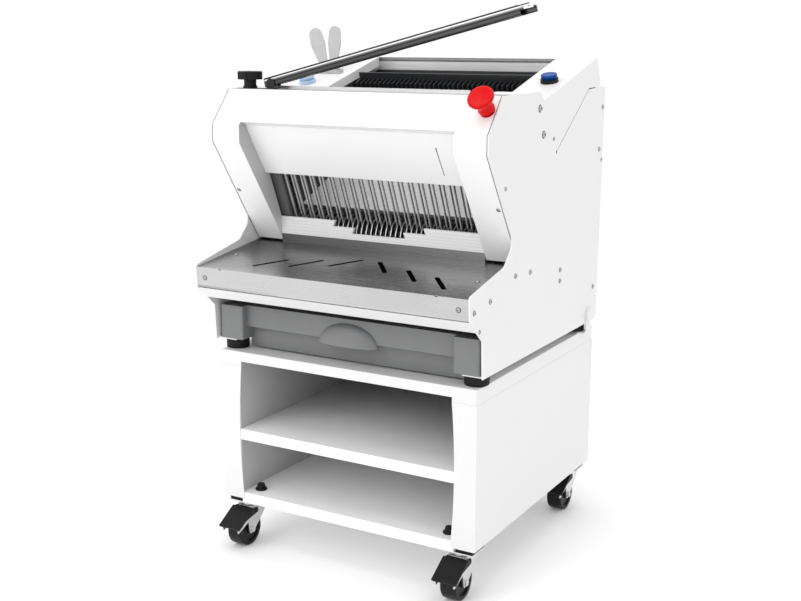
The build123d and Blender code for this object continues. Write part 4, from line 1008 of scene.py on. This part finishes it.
# %% Rolled lips
bar_way = Vector((math.cos(bar_rise), 0, math.sin(bar_rise)))
bar_up = Vector((-bar_way.z, 0, bar_way.x))
lip_height, lip_side, lip_steps = 0.0088, 0.0093, 10
# Places along the bar, each with the rod's radius there
lip_stations = ((-0.0165, 0.0006), (-0.016, 0.0012), (0.25, 0.0012), (0.578, 0.0012), (0.5785, 0.0006))
lip_tubes = []
for side in (-1, 1):
    roll = bar_pivot + (bar_up * lip_height + Vector((0, side * lip_side, 0)))
    lip_tubes.append([[roll + bar_way * place + Vector((0, radius * x, 0)) + bar_up * (radius * y)
                       for x, y in circle(lip_steps)] for place, radius in lip_stations])
lips = swept("bar_lips", lip_tubes)
for face in lips.polygons:
    face.use_smooth = True
settled(placed("bar_lips", lips), dark_lip, body="press_bar")
print("lip faces:", len(lips.polygons))

# %% [markdown]
# ## Seams of the cover
# The front cover lifts off, and a thin dark strip of painted shade lies in the joint between it and each side
# panel, where the side panel's edge casts a shadow. It follows the cover's bent edge. A short slot in the
# deflector gets a thin dark line of painted shade too.


# %% Painted shade in the cover's joints
def ribbon(name, runs, finish):
    """Thin flat bars along lines: each run is its points, its half width and its half thickness."""
    tubes = []
    for line, half_x, half_out in runs:
        tube = []
        for here, way in line_ways(line):
            across = Vector((1, 0, 0)) if abs(way.x) < 0.5 else Vector((0, 0, 1))
            out = way.cross(across).normalized()
            tube.append([here + across * (half_x * a) + out * (half_out * b)
                         for a, b in ((-1, -1), (1, -1), (1, 1), (-1, 1))])
        tubes.append(tube)
    return settled(placed(name, swept(name, tubes)), finish, body="machine")


seam_x = 0.3174
seam_profile = [side_point(*spot) for spot in (cover_top, cover_bend, (6, 446), (157, 223))]
seam_runs = [([spot + Vector((side * seam_x, 0, 0)) for spot in seam_profile], 0.0006, 0.0005)
             for side in (-1, 1)]
ribbon("cover_seams", seam_runs, seam_rubber)
slot_shift = Vector((0.1905, -0.0002, -0.0001))
slot_line = [side_point(45, 452.8) + slot_shift, side_point(83, 396.0) + slot_shift]
ribbon("deflector_slot", [(slot_line, 0.0007, 0.0004)], seam_rubber)
print("seams:", len(seam_runs))

# %% [markdown]
# ## Steel ledge and painted shade in the slots
# Behind the cover's top edge lies a narrow strip of bare steel, on which the press bar comes down. Under the
# tray a black plate of painted shade closes its slots from below, so they read as black, and the long slot of
# each side panel has a black strip of painted shade as well.

# %% Ledge, and painted shade in the slots
def flat_plate(name, corners, thickness, finish):
    """A thin plate between four corners, bevelled, on the machine."""
    a, b, c, d = corners
    out = (b - a).cross(d - a).normalized() * thickness
    mesh = bpy.data.meshes.new(name)
    mesh.from_pydata([a, b, c, d, a + out, b + out, c + out, d + out], [],
                     [(3, 2, 1, 0), (4, 5, 6, 7), (0, 1, 5, 4), (1, 2, 6, 5), (2, 3, 7, 6), (3, 0, 4, 7)])
    return settled(rounded(placed(name, mesh), thickness * 0.3, 2), finish, [], "machine")


def wide_plate(name, low_x, high_x, near, far, thickness, finish):
    """A plate across the machine between two points of the side view."""
    near_point, far_point = side_point(*near), side_point(*far)
    left, right = Vector((low_x / 1000, 0, 0)), Vector((high_x / 1000, 0, 0))
    corners = (near_point + left, near_point + right, far_point + right, far_point + left)
    return flat_plate(name, corners, thickness / 1000, finish)


wide_plate("ledge_plate", -316, 316, near=(68.5, 553.05), far=(111, 553.05), thickness=0.8,
           finish=ledge_steel)
wide_plate("slot_flap", -243, 300, near=(-50, 184), far=(120, 207), thickness=0.6,
           finish=flap_black)
slit_x = 0.3188
for side, name in ((-1, "slit_backing_left"), (1, "slit_backing_right")):
    shift = Vector((side * slit_x, 0, 0))
    line = [side_point(506, 551) + shift, side_point(332, 429) + shift]
    ribbon(name, [(line, 0.0004, 0.0016)], flap_black)
print("ledge, flap and backings done")

# %% [markdown]
# ## Studio
# The photograph has a white background and very soft light from above and in front, so the right side of the
# machine is only a little darker than its front. A pale floor, a bright room and two large lamps give that,
# with weak shadows below the wheels. A plain view transform keeps white paint white.


# %% Floor, room and lamps
def flat_lamp(name, place, target, size, power):
    """A square lamp that faces a target."""
    data = bpy.data.lights.new(name, "AREA")
    data.shape = "SQUARE"
    data.size = size
    data.energy = power
    lamp = bpy.data.objects.new(name, data)
    bpy.context.scene.collection.objects.link(lamp)
    lamp.location = place
    lamp.rotation_euler = (Vector(target) - Vector(place)).to_track_quat("-Z", "Y").to_euler()
    return lamp


floor_mesh = bpy.data.meshes.new("studio_floor")
reach = 30.0
floor_mesh.from_pydata([(-reach, -reach, 0), (reach, -reach, 0), (reach, reach, 0), (-reach, reach, 0)], [],
                       [(0, 1, 2, 3)])
floor = placed("studio_floor", floor_mesh)
pale = Finish("pale_floor")
floor_mesh.materials.append(pale.shade(Base_Color=grey(0.97), Roughness=0.8, Emission_Color=grey(0.04),
                                       Emission_Strength=1.0))

room = bpy.data.worlds.new("studio_room")
bpy.context.scene.world = room
room.use_nodes = True
room.node_tree.nodes["Background"].inputs["Color"].default_value = grey(1.0)
room.node_tree.nodes["Background"].inputs["Strength"].default_value = 1.0
flat_lamp("front_lamp", place=(-1.4, -3.3, 2.5), target=(0, 0, 0.7), size=2.2, power=34)
flat_lamp("top_lamp", place=(0.2, -0.6, 3.6), target=(0, 0, 0.6), size=2.6, power=26)
bpy.context.scene.view_settings.view_transform = "Standard"
print("lamps ready")
